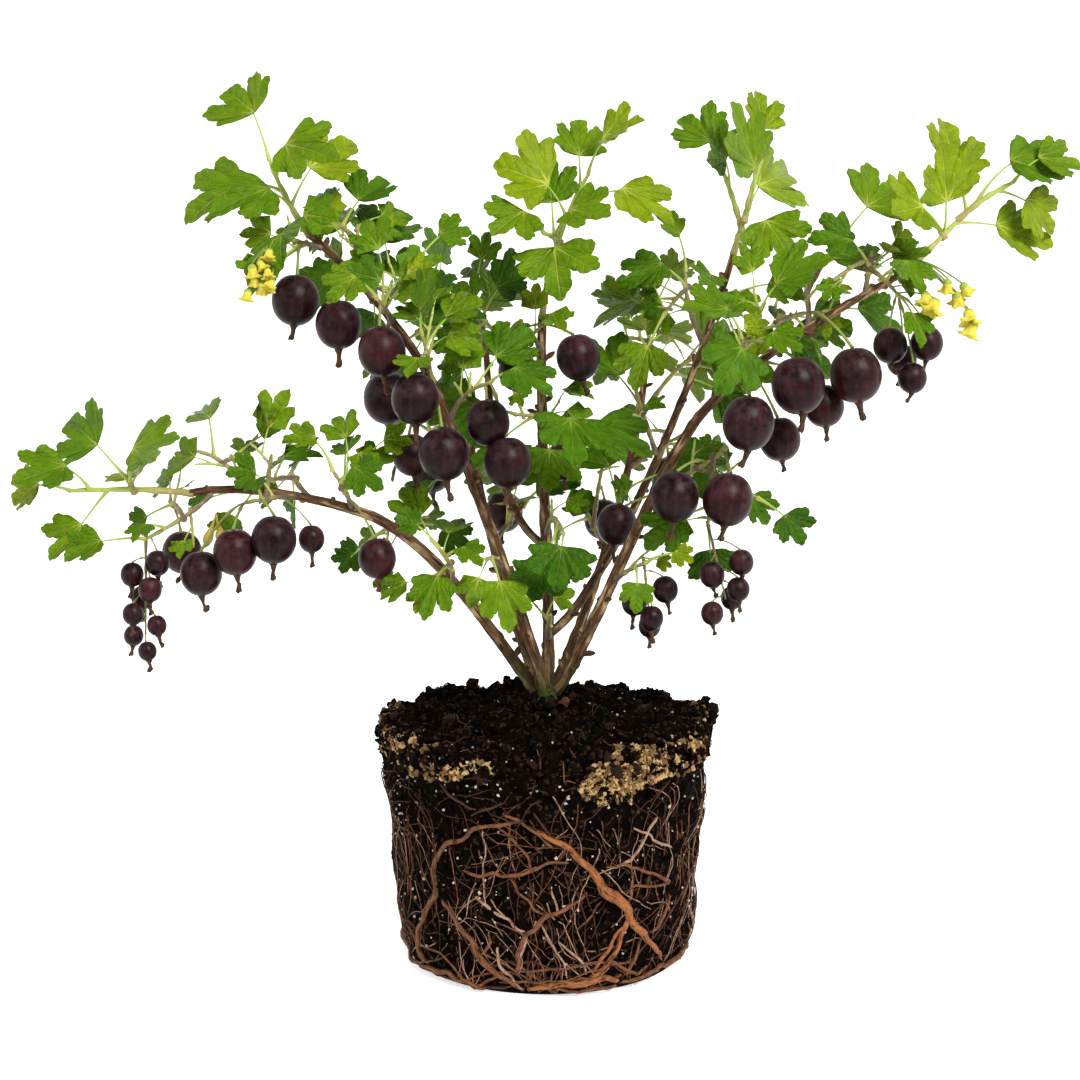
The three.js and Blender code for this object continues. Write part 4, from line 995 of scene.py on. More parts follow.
def add_petioles(piece, leaves, thick):
    """Petioles from their twigs to their blades: a quadratic curve that sags or arches by a tenth of
    its length, with a broad sheath at its foot."""
    start, base, rib, face = gathered(leaves, "start", "base", "rib", "face")
    length = np.linalg.norm(base - start, axis=1)[:, None]
    share = np.linspace(0, 1, PETIOLE_STATIONS)
    middle = lerp(start, base, 0.55) - 0.09 * length * rib + 0.05 * length * face
    paths = arches(start, middle, base + 0.1 * length * rib - 0.25 * face, PETIOLE_STATIONS)
    radii = thick * (0.62 + 0.9 * (1 - share) ** 4 - 0.14 * share**3)
    piece.add_stems(paths, radii, PETIOLE_SIDES)


# --- Fruit ---

BERRY_RINGS, BERRY_SIDES = 15, 22
TAIL_STATIONS, TAIL_SIDES = 8, 9
TAIL_LEAST = 8  # a smaller berry has the tail of a berry of this radius
TAIL_SHARE = [0, 0.15, 0.55, 0.85, 1]
TAIL_WIDTH = [0.2, 0.13, 0.08, 0.14, 0.09]  # radii at those shares, in berry radii
TAIL_LENGTH = (0.5, 0.85)  # in berry radii
STALK_STATIONS, STALK_SIDES = 9, 6
STALK_RADII = (0.32, 0.6)
BERRY_LEAN, TAIL_LEAN = 0.09, 0.16  # how far berries and their tails stray from upright


def berries():
    """Every berry: its centre, its radius and the foot of its stalk, as in the model."""
    rows = []
    for mass in masses:
        curves = [twig.curve for twig in mass.twigs]
        for x, y, z, radius in mass.fruit:
            top = np.array([x, y, z + FRUIT_STRETCH * radius])
            rows.append((x, y, z, radius, *hold_point(curves, top)))
    return np.array(rows)


def hang(rows, draw):
    """Three axes for each berry: the last points up to its stalk, leaning a little with it."""
    lean = draw.normal(0, BERRY_LEAN, (len(rows), 2))
    towards = 0.12 * unit(rows[:, 4:7] - rows[:, :3])[:, :2]
    return square_axes(unit(np.concatenate([lean + towards, np.ones((len(rows), 1))], 1)), draw)


def placed(rows, axes, shape):
    """A shape in berry radii, set on each berry."""
    return rows[:, None, :3] + rows[:, 3, None, None] * turned(shape, axes)


def add_berries(piece, rows, axes, draw):
    """Berry skins: a ring at tilt t has radius sin(t)^0.94 and height 1.08 * cos(t), drawn in at the
    stalk. A berry's pattern is its place on a ball of radius 1."""
    tilt = math.pi * (np.arange(BERRY_RINGS) + 0.55) / (BERRY_RINGS + 0.1)
    tilt = tilt[:, None]
    angle = turns(BERRY_SIDES)
    height = FRUIT_STRETCH * np.cos(tilt) - 0.05 * np.exp(-((tilt / 0.3) ** 2))
    shape = with_poles(polar(np.sin(tilt) ** 0.94, angle, height), UP, -FRUIT_STRETCH * UP)
    points = placed(rows, axes, np.broadcast_to(shape, (len(rows), *shape.shape)))
    place = with_poles(polar(1, angle, np.cos(tilt)), UP, -UP)
    faces = [kind[:, ::-1] for kind in skin_faces(BERRY_RINGS, BERRY_SIDES)]
    piece.add(points, faces, draw.integers(0, 3, len(rows)), place)


def add_tails(piece, rows, axes, draw):
    """The dried flower under each berry: a tube of eight stations that starts in the berry, narrows
    to a waist and flares to a ragged, crumpled end."""
    share = np.linspace(0, 1, TAIL_STATIONS)
    size = np.maximum(rows[:, 3:4], TAIL_LEAST)
    length = draw.uniform(*TAIL_LENGTH, len(rows))[:, None] * size / rows[:, 3:4]
    lean = draw.normal(0, TAIL_LEAN, (2, len(rows), 1)) * share**1.5
    drop = -0.98 * FRUIT_STRETCH - length * share
    paths = placed(rows, axes, np.stack([*lean, drop], -1))
    points, faces, places = tubes(paths, size * np.interp(share, TAIL_SHARE, TAIL_WIDTH), TAIL_SIDES)
    ragged = noise(points, 1.3, 21) * np.interp(places[..., 2], [0, 6], [0.1, 0.8])
    points = points + (ragged * np.sign(noise(points, 0.9, 22)))[..., None]
    piece.add(points, faces, 0, places)


def add_stalks(piece, rows, axes):
    """Berry stalks: a hanging curve from the twig down into the berry, with a small knot of dry
    bracts partway."""
    share = np.linspace(0, 1, STALK_STATIONS)
    top = rows[:, :3] + 0.97 * FRUIT_STRETCH * rows[:, 3:4] * axes[2]
    foot = rows[:, 4:7]
    length = np.linalg.norm(top - foot, axis=1, keepdims=True)
    middle = lerp(foot, top, 0.4) + 0.22 * length * UP
    knot = 1 + 0.9 * np.exp(-(((share - 0.38) / 0.09) ** 2))
    radii = np.clip(rows[:, 3:4] * 0.055, *STALK_RADII) * knot * (1 + 0.5 * share**6)
    piece.add_stems(arches(foot, middle, top, STALK_STATIONS), radii, STALK_SIDES)


# --- Flowers ---

# The flowers' places by the mass that they hang from.
FLOWERS = {
    "upper_left_spur": [(-131, -44, 340), (-126, -43, 345), (-127, -46, 336), (-133, -44, 333),
                        (-136, -42, 327), (-129, -45, 330), (-134, -45, 338), (-125, -44, 332)],
    "right_outer": [(176, -30, 325), (180, -31, 322)],
    "right_tip": [(190, -26, 325), (196, -26, 317), (193, -24, 329), (186, -26, 331), (199, -27, 312)],
}
# A bell's reach and drop, outside from the stalk to the lobes' tips and back inside to its bottom.
BELL = np.array([(0.4, 0.0), (1.4, 0.5), (1.9, 1.6), (1.8, 2.8), (2.1, 4.2), (2.9, 5.2), (3.3, 4.9),
                 (3.1, 5.4), (2.2, 5.7), (1.5, 4.4), (1.1, 3.4), (0.5, 3.0)])
BELL_SIDES = 20
BELL_GREEN = 2  # rings of the green cup
BELL_SIZES, BELL_LEAN = (1.05, 1.45), 0.5  # sizes on the left and on the right, and their lean
FLOWER_STATIONS, FLOWER_STALK = 8, 0.42


def add_flowers(petals, stalks, draw):
    """Small bells: a green cup, a yellow tube and five lobes turned back, outside and inside as one
    closed skin; the reach of a ring gains 0.3 * cos(5 a) towards the rim."""
    reach, drop = BELL.T[..., None]
    angle = turns(BELL_SIDES)
    lobed = reach * (1 + 0.3 * np.cos(5 * angle) * np.clip((drop - 3.4) / 1.6, 0, 1))
    shape = with_poles(polar(lobed, angle, -drop), (0, 0, 0.1), (0, 0, -3.0))
    quads, caps = [kind[:, ::-1] for kind in skin_faces(len(BELL), BELL_SIDES)]
    green = BELL_GREEN * BELL_SIDES
    centres = np.array([place for places in FLOWERS.values() for place in places], float)
    count = len(centres)
    up = unit(np.concatenate([draw.normal(0, BELL_LEAN, (count, 2)), np.ones((count, 1))], 1))
    axes = square_axes(up, draw)
    size = np.where(centres[:, :1, None] > 0, BELL_SIZES[1], BELL_SIZES[0])
    size = size * draw.uniform(0.8, 1.1, (count, 1, 1))
    faces = [quads[:green], quads[green:], caps[:BELL_SIDES], caps[BELL_SIDES:]]
    petals.add(centres[:, None] + size * turned(shape[None], axes), faces, [1, 0, 1, 0])
    feet = []
    for mass in masses:
        curves = [twig.curve for twig in mass.twigs]
        places = np.array(FLOWERS.get(mass.plan.name, []), float)
        feet += [hold_point(curves, place) for place in places]
    foot = np.array(feet)
    middle = lerp(foot, centres, 0.35) + 3 * UP
    paths = arches(foot, middle, centres + 0.1 * up, FLOWER_STATIONS)
    stalks.add_stems(paths, FLOWER_STALK, STALK_SIDES)


# A withered flower on the low arm: where it hangs from and the ends of its lobes, and the radii of a
# lobe at some shares of its length.
DRIED_FOOT = np.array([-152.0, -50, 224])
DRIED_ENDS = np.array([(-157.0, -51, 209), (-149, -52, 211)])
DRIED_STATIONS, DRIED_SIDES = 12, 10
DRIED_SHARE = [0, 0.35, 0.7, 0.9, 1]
DRIED_RADII = [0.45, 0.6, 2.4, 1.7, 0.4]


def add_dried_flower(petals):
    """Two closed lobes on a short stalk, each swelling to 2.4 mm in radius and pointed."""
    share = np.linspace(0, 1, DRIED_STATIONS)
    paths = lerp(DRIED_FOOT, DRIED_ENDS[:, None], share[:, None])
    points, faces, places = tubes(paths, np.interp(share, DRIED_SHARE, DRIED_RADII), DRIED_SIDES)
    petals.add(points + 0.5 * noise(points, 2.0, 81)[..., None], faces, 2, places)


# --- Root ball ---

SOIL_COLUMNS = 340
# The profile that is turned into the soil: reach and height of its corners, from under the middle
# round to the top, and the rows of points from each corner to the next.
SOIL_PROFILE = [(0.0, 0.0), (65, 0), (69.5, 4.5), (73.3, 34), (76.1, 64), (78.2, 97), (81.2, 104),
                (80.5, 116), (74, 119), (50, 120.5), (16, 124), (0, 125)]
SOIL_ROWS = [14, 4, 24, 24, 26, 8, 12, 6, 14, 18, 8]
SOIL_PEAK = 126
SIDE_ROW = 16  # first row of points on the ball's side
GRIT_ROW = 24  # and the first that white grains lie on
MOUND_LOW = 104  # height of the first row that crumbs of the mound lie on
SIDE_RADIUS = 76  # radius at which the side is laid out flat
HOLLOW = 1.3  # depth of the side's soft hollows


def plain_reach(height):
    """Radius of the root ball's side before it is moulded: lerp(70, 81) with height."""
    return lerp(BALL_FOOT_RADIUS, BALL_RIM_RADIUS, np.clip(height, 0, BALL_HEIGHT) / BALL_HEIGHT)


def ball_reach(angle, height):
    """Radius of the root ball's side, moulded nearly as in the model: plain_reach, and a lump of
    0.8 * 1.4 * (sin(5 a + z / 9) + 0.7 sin(11 a - z / 6)), with soft hollows of 1.3 mm."""
    wave = np.sin(5 * angle + height / 9) + 0.7 * np.sin(11 * angle - height / 6)
    hollows = HOLLOW * noise(polar(80, angle, height), 11, 31)
    return plain_reach(height) + BALL_LUMP * wave * 0.8 + hollows - 0.6


def on_ball(angle, height, out):
    """A point over the root ball's side at an angle and a height."""
    return polar(ball_reach(angle, height) + out, angle, height)


# Pale crust on the side: angle, height, half its width and half its height in millimetres.
CRUSTS = [(295, 104, 19, 11), (305, 111, 10, 6), (233, 108, 10, 5), (247, 111, 8, 3), (331, 112, 7, 3),
          (204, 113, 12, 4), (20, 108, 14, 7), (120, 109, 16, 7)]
CRUST_RADIUS = 78
CRUST_SKIN = 0.72  # share above which the soil's skin is crust


def crust_share(points):
    """How much of a place is crusted: exp(-d^2) over the patches, with d the distance from a
    patch's middle in its own half sizes, times a broken share from noise."""
    angle = np.arctan2(points[..., 1], points[..., 0])
    share = 0 * angle
    for middle, height, wide, tall in CRUSTS:
        aside = CRUST_RADIUS * np.angle(np.exp(1j * (angle - math.radians(middle))))
        share = share + np.exp(-((aside / wide) ** 2) - ((points[..., 2] - height) / tall) ** 2)
    return share * (1.05 + 0.8 * noise(points, 6, 61) + 0.5 * noise(points, 2.4, 62))


def add_soil(piece):
    """The soil: a profile turned round the upright axis, moulded by ball_reach on its side and
    roughened by lumps of 15, 7, 3.2 and 1.5 mm, most on the mound and the rim, none underneath.
    Gives its grid of points."""
    corners = np.array(SOIL_PROFILE, float)
    pairs = zip(corners, corners[1:], SOIL_ROWS)
    rows = [lerp(low, high, np.arange(count)[:, None] / count) for low, high, count in pairs]
    reach, rise = np.concatenate(rows)[1:].T[..., None]
    angle = turns(SOIL_COLUMNS)
    is_side = np.clip(rise / 6, 0, 1) * np.clip((reach - 40) / 25, 0, 1)
    moulded = ball_reach(angle, rise) - plain_reach(rise)
    points = polar(reach + is_side * moulded, angle, rise)
    on_top = np.clip((points[..., 2] - 108) / 6, 0, 1)
    clods = 3.4 * noise(points, 15, 1) * on_top + lerp(0.9, 3.2, on_top) * noise(points, 7, 2)
    clods += lerp(1.0, 1.9, on_top) * noise(points, 3.2, 3) + 0.6 * noise(points, 1.5, 4)
    level = np.clip((reach - 60) / 20, 0, 1) * (1 - 0.4 * on_top)
    out = polar(level, angle, on_top) * np.clip(rise / 3, 0, 1)[..., None]
    points = points + clods[..., None] * out
    points[..., 2] = np.maximum(points[..., 2], 0)
    quads, caps = skin_faces(len(reach), SOIL_COLUMNS)
    crusted = crust_share(points.reshape(-1, 3))[quads[:, 0]] > CRUST_SKIN
    skin = with_poles(points, (0, 0, 0), SOIL_PEAK * UP)[None]
    piece.add(skin, [quads[~crusted], quads[crusted], caps], [0, 1, 0], skin)
    return points


def icosahedron():
    """The twelve points of a regular icosahedron, one unit from its middle, and its twenty faces."""
    golden = (1 + 5**0.5) / 2
    points = np.array([(-1, golden, 0), (1, golden, 0), (-1, -golden, 0), (1, -golden, 0),
                       (0, -1, golden), (0, 1, golden), (0, -1, -golden), (0, 1, -golden),
                       (golden, 0, -1), (golden, 0, 1), (-golden, 0, -1), (-golden, 0, 1)])
    faces = np.array([(0, 11, 5), (0, 5, 1), (0, 1, 7), (0, 7, 10), (0, 10, 11),
                      (1, 5, 9), (5, 11, 4), (11, 10, 2), (10, 7, 6), (7, 1, 8),
                      (3, 9, 4), (3, 4, 2), (3, 2, 6), (3, 6, 8), (3, 8, 9),
                      (4, 9, 5), (2, 4, 11), (6, 2, 10), (8, 6, 7), (9, 8, 1)])
    return unit(points.astype(float)), faces


LOWEST = 0.05  # no grain or root comes lower than this above the floor


def add_grains(piece, centres, sizes, finish, draw, flatness=0.55):
    """Grains: icosahedra with uneven corners, squeezed along one axis and turned at random."""
    shape, faces = icosahedron()
    count = len(centres)
    corners = shape * draw.uniform(0.55, 1.3, (count, 12, 1))
    corners = corners * draw.uniform(flatness, 1.2, (count, 1, 3))
    side, over, first = square_axes(unit(draw.normal(0, 1, (count, 3))), draw)
    points = centres[:, None] + sizes[:, None, None] * turned(corners, (first, side, over))
    points[..., 2] = np.maximum(points[..., 2], LOWEST)
    piece.add(points, [faces], finish, points)


def scatter(ground, count, low_row, draw):
    """Points picked over the soil's grid from a row up, evenly by area."""
    rows = np.arange(low_row, len(ground) - 1)
    weight = np.hypot(ground[rows, 0, 0], ground[rows, 0, 1])
    row = draw.choice(rows, count, p=weight / weight.sum())
    column = draw.integers(0, SOIL_COLUMNS, count)
    return ground[row, column]


DARK, BROWN, WHITE, TAN, TAN_BROWN = range(5)  # the crumbs' finishes
MOSTLY_DARK = [DARK, DARK, DARK, BROWN]
CANDIDATES = 90000  # places among which those for the crust and the rim are looked for
CRUST_SHARE = 0.42  # share above which crust grains lie
CRUST_GRAINS, RIM_GRAINS, COLLAR_GRAINS = 2600, 900, 340
RIM_LOW, RIM_REACH, RIM_ASIDE = 101, 76, 48  # the rim's height and reach, and how far to the side
COLLAR_REACH, COLLAR_HEIGHT = (8, 19), (122.5, 127)
COLLAR_RISE, COLLAR_SPREAD = 4, 13  # how much higher the collar is at the stems, and up to where
CRUST_SIZE, RIM_SIZE, COLLAR_SIZE = (0.5, 2.0), (0.7, 2.4), (1.0, 3.0)


def add_crumbs(piece, ground, mound_row, draw):
    """Crumbs and grit all over the soil, pale grains on its crust, flat ones along the rim and a
    heaped collar round the stems."""
    # Count, size in millimetres, first row of the soil's grid, finishes and flatness.
    spread = [
        (2300, (0.7, 2.2), mound_row, [DARK, DARK] + MOSTLY_DARK, 0.5),
        (1500, (0.5, 1.3), SIDE_ROW, MOSTLY_DARK, 0.55),
        (420, (2.0, 4.4), mound_row, [DARK, DARK, DARK] + MOSTLY_DARK, 0.35),
        (680, (0.3, 1.0), GRIT_ROW, [WHITE], 0.7),
    ]
    for count, sizes, low_row, kinds, flatness in spread:
        places = scatter(ground, count, low_row, draw)
        size = draw.uniform(*sizes, count)
        add_grains(piece, places, size, draw.choice(kinds, count), draw, flatness)
    near = scatter(ground, CANDIDATES, SIDE_ROW, draw)
    crust = near[crust_share(near) > CRUST_SHARE][:CRUST_GRAINS]
    kinds = draw.choice([TAN, TAN, TAN_BROWN, TAN_BROWN, BROWN], len(crust))
    add_grains(piece, crust, draw.uniform(*CRUST_SIZE, len(crust)), kinds, draw, 0.4)
    is_rim = (near[:, 2] > RIM_LOW) & (np.hypot(near[:, 0], near[:, 1]) > RIM_REACH)
    rim = near[is_rim & (np.abs(near[:, 0]) > RIM_ASIDE)][:RIM_GRAINS]
    kinds = draw.choice([DARK, BROWN, TAN_BROWN, TAN_BROWN, TAN_BROWN, TAN], len(rim))
    add_grains(piece, rim, draw.uniform(*RIM_SIZE, len(rim)), kinds, draw, 0.35)
    angle = draw.uniform(0, 2 * math.pi, COLLAR_GRAINS)
    out = draw.uniform(*COLLAR_REACH, COLLAR_GRAINS)
    height = draw.uniform(*COLLAR_HEIGHT, COLLAR_GRAINS)
    height = height + COLLAR_RISE * np.exp(-((out / COLLAR_SPREAD) ** 4))
    size = draw.uniform(*COLLAR_SIZE, COLLAR_GRAINS)
    kinds = draw.choice(MOSTLY_DARK, COLLAR_GRAINS)
    add_grains(piece, polar(out, angle, height), size, kinds, draw)


# The roots' finishes by number: 0 is orange, 1 brown, 2 pale and 3 dark.
FIBRE_FINISHES = [3, 3, 3, 1]
FIBRES = 190
FIBRE_STATIONS, FINE_SIDES = 8, 4
FIBRE_LENGTH, FIBRE_RADIUS, FIBRE_ARCH = (5, 15), (0.14, 0.36), (0.2, 1.6)
FIBRE_TURN = 0.3  # spread of the turn from one station to the next


def add_fibres(piece, ground, low_row, draw):
    """Bits of root and bark lying on the soil: each sets off level, its heading the running sum of
    small turns, and follows the ground under it with an arch of up to 1.6 mm."""
    each = (FIBRES, 1)
    start = scatter(ground, FIBRES, low_row, draw)
    step = draw.uniform(*FIBRE_LENGTH, each) / (FIBRE_STATIONS - 1)
    heading = draw.uniform(0, 2 * math.pi, each)
    heading = heading + np.cumsum(draw.normal(0, FIBRE_TURN, (FIBRES, FIBRE_STATIONS)), 1)
    x = start[:, :1] + np.cumsum(np.cos(heading) * step, 1)
    y = start[:, 1:2] + np.cumsum(np.sin(heading) * step, 1)
    inward = np.minimum(1, BALL_RIM_RADIUS / np.hypot(x, y))
    x, y = x * inward, y * inward
    reach = np.hypot(ground[..., 0], ground[..., 1]).mean(1)
    row = np.interp(-np.hypot(x, y), -reach[low_row:], np.arange(low_row, len(ground))).astype(int)
    column = np.rint(np.arctan2(y, x) / (2 * math.pi) * SOIL_COLUMNS).astype(int) % SOIL_COLUMNS
    share = np.linspace(0, 1, FIBRE_STATIONS)
    arch = draw.uniform(*FIBRE_ARCH, each) * np.sin(math.pi * share)
    paths = np.stack([x, y, ground[row, column, 2] + arch], -1)
    radius = draw.uniform(*FIBRE_RADIUS, each) * (1 - 0.4 * share)
    points, faces, places = tubes(paths, radius, FINE_SIDES)
    piece.add(points, faces, draw.choice(FIBRE_FINISHES, FIBRES), places)


# Thick roots: radius at one end, between and at the other, finish, and the course over the side as
# angle (degrees, 270 the front) and height.
ROOT_COURSES = [
    ((0.8, 2.6, 0.9), 0, [(262, 84), (271, 80), (280, 71), (285, 62), (291, 52), (299, 44), (302, 35),
                          (309, 25), (318, 15), (327, 7)]),
    ((0.8, 1.3, 1.4), 1, [(262, 86), (254, 86), (244, 79), (230, 69), (227, 56), (224, 45), (218, 33),
                          (212, 23), (213, 12), (218, 5)]),
    ((1.1, 1.5, 1.2), 1, [(226, 44), (232, 36), (237, 26), (245, 16), (253, 9), (260, 3)]),
    ((0.7, 1.2, 1.0), 1, [(286, 52), (280, 46), (272, 41), (265, 34), (261, 25), (259, 16), (258, 9)]),
    ((1.0, 1.9, 0.8), 0, [(262, 3), (272, 6), (282, 7), (291, 8), (299, 6)]),
    ((1.2, 1.1, 1.0), 0, [(302, 36), (298, 25), (293, 14), (287, 9)]),
    ((0.7, 0.9, 0.6), 1, [(238, 60), (247, 58), (257, 61), (265, 64), (271, 67), (279, 66)]),
    ((0.6, 0.8, 0.7), 1, [(304, 60), (300, 44)]),
    ((0.6, 0.8, 0.5), 2, [(244, 49), (249, 44), (254, 39), (258, 37), (264, 33)]),
    ((0.6, 0.7, 0.5), 1, [(249, 32), (249, 25), (246, 20), (244, 15)]),
    ((0.6, 0.8, 0.5), 2, [(251, 23), (252, 15), (256, 9), (260, 3)]),
    ((0.5, 0.6, 0.4), 2, [(267, 40), (263, 27), (260, 18), (259, 10)]),
    ((0.5, 0.7, 0.5), 1, [(253, 84), (258, 77), (264, 70), (265, 64)]),
    ((0.5, 0.8, 0.6), 1, [(255, 90), (261, 87), (266, 81), (272, 75)]),
    ((0.4, 0.6, 0.4), 3, [(228, 103), (234, 97), (239, 93), (246, 91)]),
    ((0.4, 0.6, 0.4), 3, [(244, 88), (249, 92), (255, 94)]),
    ((0.6, 0.9, 0.7), 1, [(289, 64), (301, 63), (311, 56), (322, 48)]),
    ((0.5, 0.7, 0.5), 1, [(298, 47), (303, 52), (313, 50), (322, 48)]),
    ((0.6, 0.8, 0.6), 2, [(312, 84), (308, 75), (301, 66), (293, 62)]),
    ((0.5, 0.7, 0.5), 2, [(303, 79), (312, 72), (323, 64)]),
    ((0.6, 0.9, 0.7), 0, [(303, 35), (295, 26), (291, 18), (287, 13)]),
    ((0.6, 0.8, 0.6), 1, [(309, 24), (306, 15), (302, 8)]),
    ((0.4, 0.6, 0.4), 2, [(269, 36), (273, 25), (278, 9)]),
    ((0.4, 0.6, 0.4), 2, [(274, 28), (281, 20), (285, 12)]),
    ((0.7, 1.2, 0.8), 1, [(208, 3), (224, 6), (236, 5), (246, 3)]),
    ((0.4, 0.6, 0.4), 2, [(272, 55), (274, 40)]),
    ((0.5, 0.7, 0.5), 1, [(257, 59), (262, 50), (270, 40)]),
    ((0.6, 0.8, 0.6), 1, [(323, 43), (318, 29), (313, 25)]),
    ((0.4, 0.6, 0.4), 1, [(292, 46), (286, 38), (280, 32)]),
    ((0.8, 1.9, 0.8), 1, [(20, 76), (30, 54), (38, 38), (48, 20), (56, 9)]),
    ((0.7, 1.6, 0.7), 1, [(102, 68), (96, 48), (86, 32), (80, 18), (70, 8)]),
    ((0.8, 1.9, 0.8), 1, [(168, 52), (156, 40), (146, 28), (136, 16), (124, 8)]),
    ((0.8, 1.3, 0.9), 1, [(300, 5), (320, 4), (342, 6), (4, 5), (20, 4)]),
    ((1.0, 1.5, 1.2), 1, [(120, 5), (145, 4), (165, 7), (190, 6), (210, 4)]),
    ((1.0, 1.5, 1.2), 1, [(30, 6), (50, 4), (70, 7), (92, 6), (112, 4)]),
]
COURSE_STATIONS, COURSE_SIDES = 44, 10
COURSE_ROUNDINGS = 6


def course_path(course):
    """A thick root's path over the ball: evenly spaced along its course, rounded at its bends by
    blending each point with its two neighbours, and wandering by up to 2 mm."""
    thick, _, stops = course
    angle = np.unwrap(np.radians([stop[0] for stop in stops]))
    height = np.array([stop[1] for stop in stops], float)
    run = np.concatenate([[0], np.cumsum(np.hypot(SIDE_RADIUS * np.diff(angle), np.diff(height)))])
    even = np.linspace(0, run[-1], COURSE_STATIONS)
    both = np.stack([np.interp(even, run, SIDE_RADIUS * angle), np.interp(even, run, height)])
    for _ in range(COURSE_ROUNDINGS):
        both[:, 1:-1] = 0.25 * both[:, :-2] + 0.5 * both[:, 1:-1] + 0.25 * both[:, 2:]
    flat = np.stack([*both, 0 * even], -1)
    both += [2.0 * noise(flat, 7, seed) for seed in (41, 42)]
    share = even / run[-1]
    radius = np.interp(share, [0, 0.5, 1], thick) * (1 + 0.24 * noise(flat, 6, 43))
    height = np.maximum(both[1], radius + 0.3)
    out = 0.55 * radius - 2.6 * radius * at_ends(share, 0.05)
    return on_ball(both[0] / SIDE_RADIUS, height, out), radius


def add_courses(piece):
    """The thick roots, each half sunk in the side, with wrinkles along them and knobs."""
    paths, radii = [np.array(made) for made in zip(*map(course_path, ROOT_COURSES))]
    points, faces, places = tubes(paths, radii, COURSE_SIDES, outward(paths))
    number = np.arange(len(paths))[:, None, None]
    wrinkle = noise(places * [1.6, 1.6, 0.3] + number * 9, 1.4, 44)
    knobs = noise(places * [0.6, 0.6, 1.0] + number * 7, 2.6, 45)
    points = points + (0.2 * wrinkle + 0.35 * knobs)[..., None] * outward(points)
    piece.add(points, faces, np.array([course[1] for course in ROOT_COURSES]), places)


# Fine roots: count, length, radius, height they set off at, slope in degrees, reach out of the soil
# and finishes.
FINE_ROOTS = [
    (240, (20, 70), (0.16, 0.36), (18, 92), (20, 85), (-0.2, 1.0), [1, 2, 2, 3]),
    (190, (25, 80), (0.2, 0.45), (40, 104), (62, 92), (-0.2, 0.9), [1, 2, 3, 3]),
    (130, (20, 60), (0.18, 0.34), (66, 112), (10, 80), (-0.4, 0.8), [1, 3, 3]),
    (30, (45, 110), (0.4, 0.9), (3, 11), (-8, 10), (0.0, 1.0), [1, 1, 3, 3]),
]
FINE_STATIONS = 13
FINE_LOW, FINE_HIGH = 2, 112  # heights at which fine roots turn back
FINE_TURN = 0.24  # spread of the turn from one station to the next


def add_fine_roots(piece, count, lengths, radii, heights, slopes, out, finishes, draw):
    """Fine roots: each sets off at a slope and wanders, its heading the running sum of small bends,
    over the side of the ball and in and out of the soil."""
    each = (count, 1)
    length = draw.uniform(*lengths, each)
    bends = draw.normal(0, FINE_TURN, (count, FINE_STATIONS))
    heading = np.radians(draw.uniform(*slopes, each))
    heading = heading + np.cumsum(bends, 1) - 0.5 * bends.sum(1, keepdims=True)
    side = np.where(draw.random(each) < 0.5, -1, 1)
    step = length / (FINE_STATIONS - 1)
    across = np.cumsum(side * np.cos(heading) * step, 1)
    down = np.cumsum(np.sin(heading) * step, 1)
    angle = draw.uniform(0, 2 * math.pi, each) + across / SIDE_RADIUS
    height = draw.uniform(*heights, each) - down
    share = np.linspace(0, 1, FINE_STATIONS)
    radius = draw.uniform(*radii, each) * (1 - 0.55 * share)
    flat = np.stack([SIDE_RADIUS * angle, height, 0 * height], -1)
    lift = draw.uniform(*out, each) + 0.7 * noise(flat, 9, 51) - 2.0 * at_ends(share, 0.06)
    height = FINE_LOW + np.abs(height - FINE_LOW)
    height = FINE_HIGH - np.abs(FINE_HIGH - height)
    paths = on_ball(angle, np.maximum(height, radius + 0.2), lift)
    points, faces, places = tubes(paths, radius, FINE_SIDES, outward(paths))
    points[..., 2] = np.maximum(points[..., 2], LOWEST)
    piece.add(points, faces, draw.choice(finishes, count), places)


# --- Finishes ---

# Kinds of node by a short name: Blender's name, the sockets that are filled in turn, the output that
# is read (all of them for None) and the settings. Any other name is an operation of the Math node.
KINDS = {
    "place": ("TexCoord", (), "Object", {}),
    "pattern": ("Attribute", (), "Vector", {"attribute_name": "pattern"}),
    "scaled": ("VectorMath", (0, "Scale"), 0, {"operation": "SCALE"}),
    "squeezed": ("VectorMath", (0, 1), 0, {"operation": "MULTIPLY"}),
    "parts": ("SeparateXYZ", (0,), None, {}),
    "channels": ("SeparateColor", (0,), None, {}),
    "noise": ("TexNoise", ("Vector", "Scale", "Detail", "Roughness"), 0, {}),  # scale is 1 / size
    "cells": ("TexVoronoi", ("Vector", "Scale"), None, {}),
    "ramp": ("MapRange", (0, 1, 2, 3, 4), 0, {}),  # value, from low to high, into first to second
    "mix": ("Mix", (0, 6, 7), 2, {"data_type": "RGBA"}),  # factor, first colour, second colour
    "bump": ("Bump", ("Height", "Distance"), 0, {}),
}
PER_MM = 1 / MM


def linear(colour):
    """An sRGB hex colour as linear red, green, blue and 1."""
    shares = [int(colour[i : i + 2], 16) / 255 for i in (1, 3, 5)]
    return [s / 12.92 if s <= 0.04045 else ((s + 0.055) / 1.055) ** 2.4 for s in shares] + [1]


def fill(tree, node, values):
    """Sets a node's sockets, each to a number, a hex colour or another node's output."""
    for socket, value in values.items():
        if isinstance(value, bpy.types.NodeSocket):
            tree.links.new(value, node.inputs[socket])
        else:
            node.inputs[socket].default_value = linear(value) if isinstance(value, str) else value


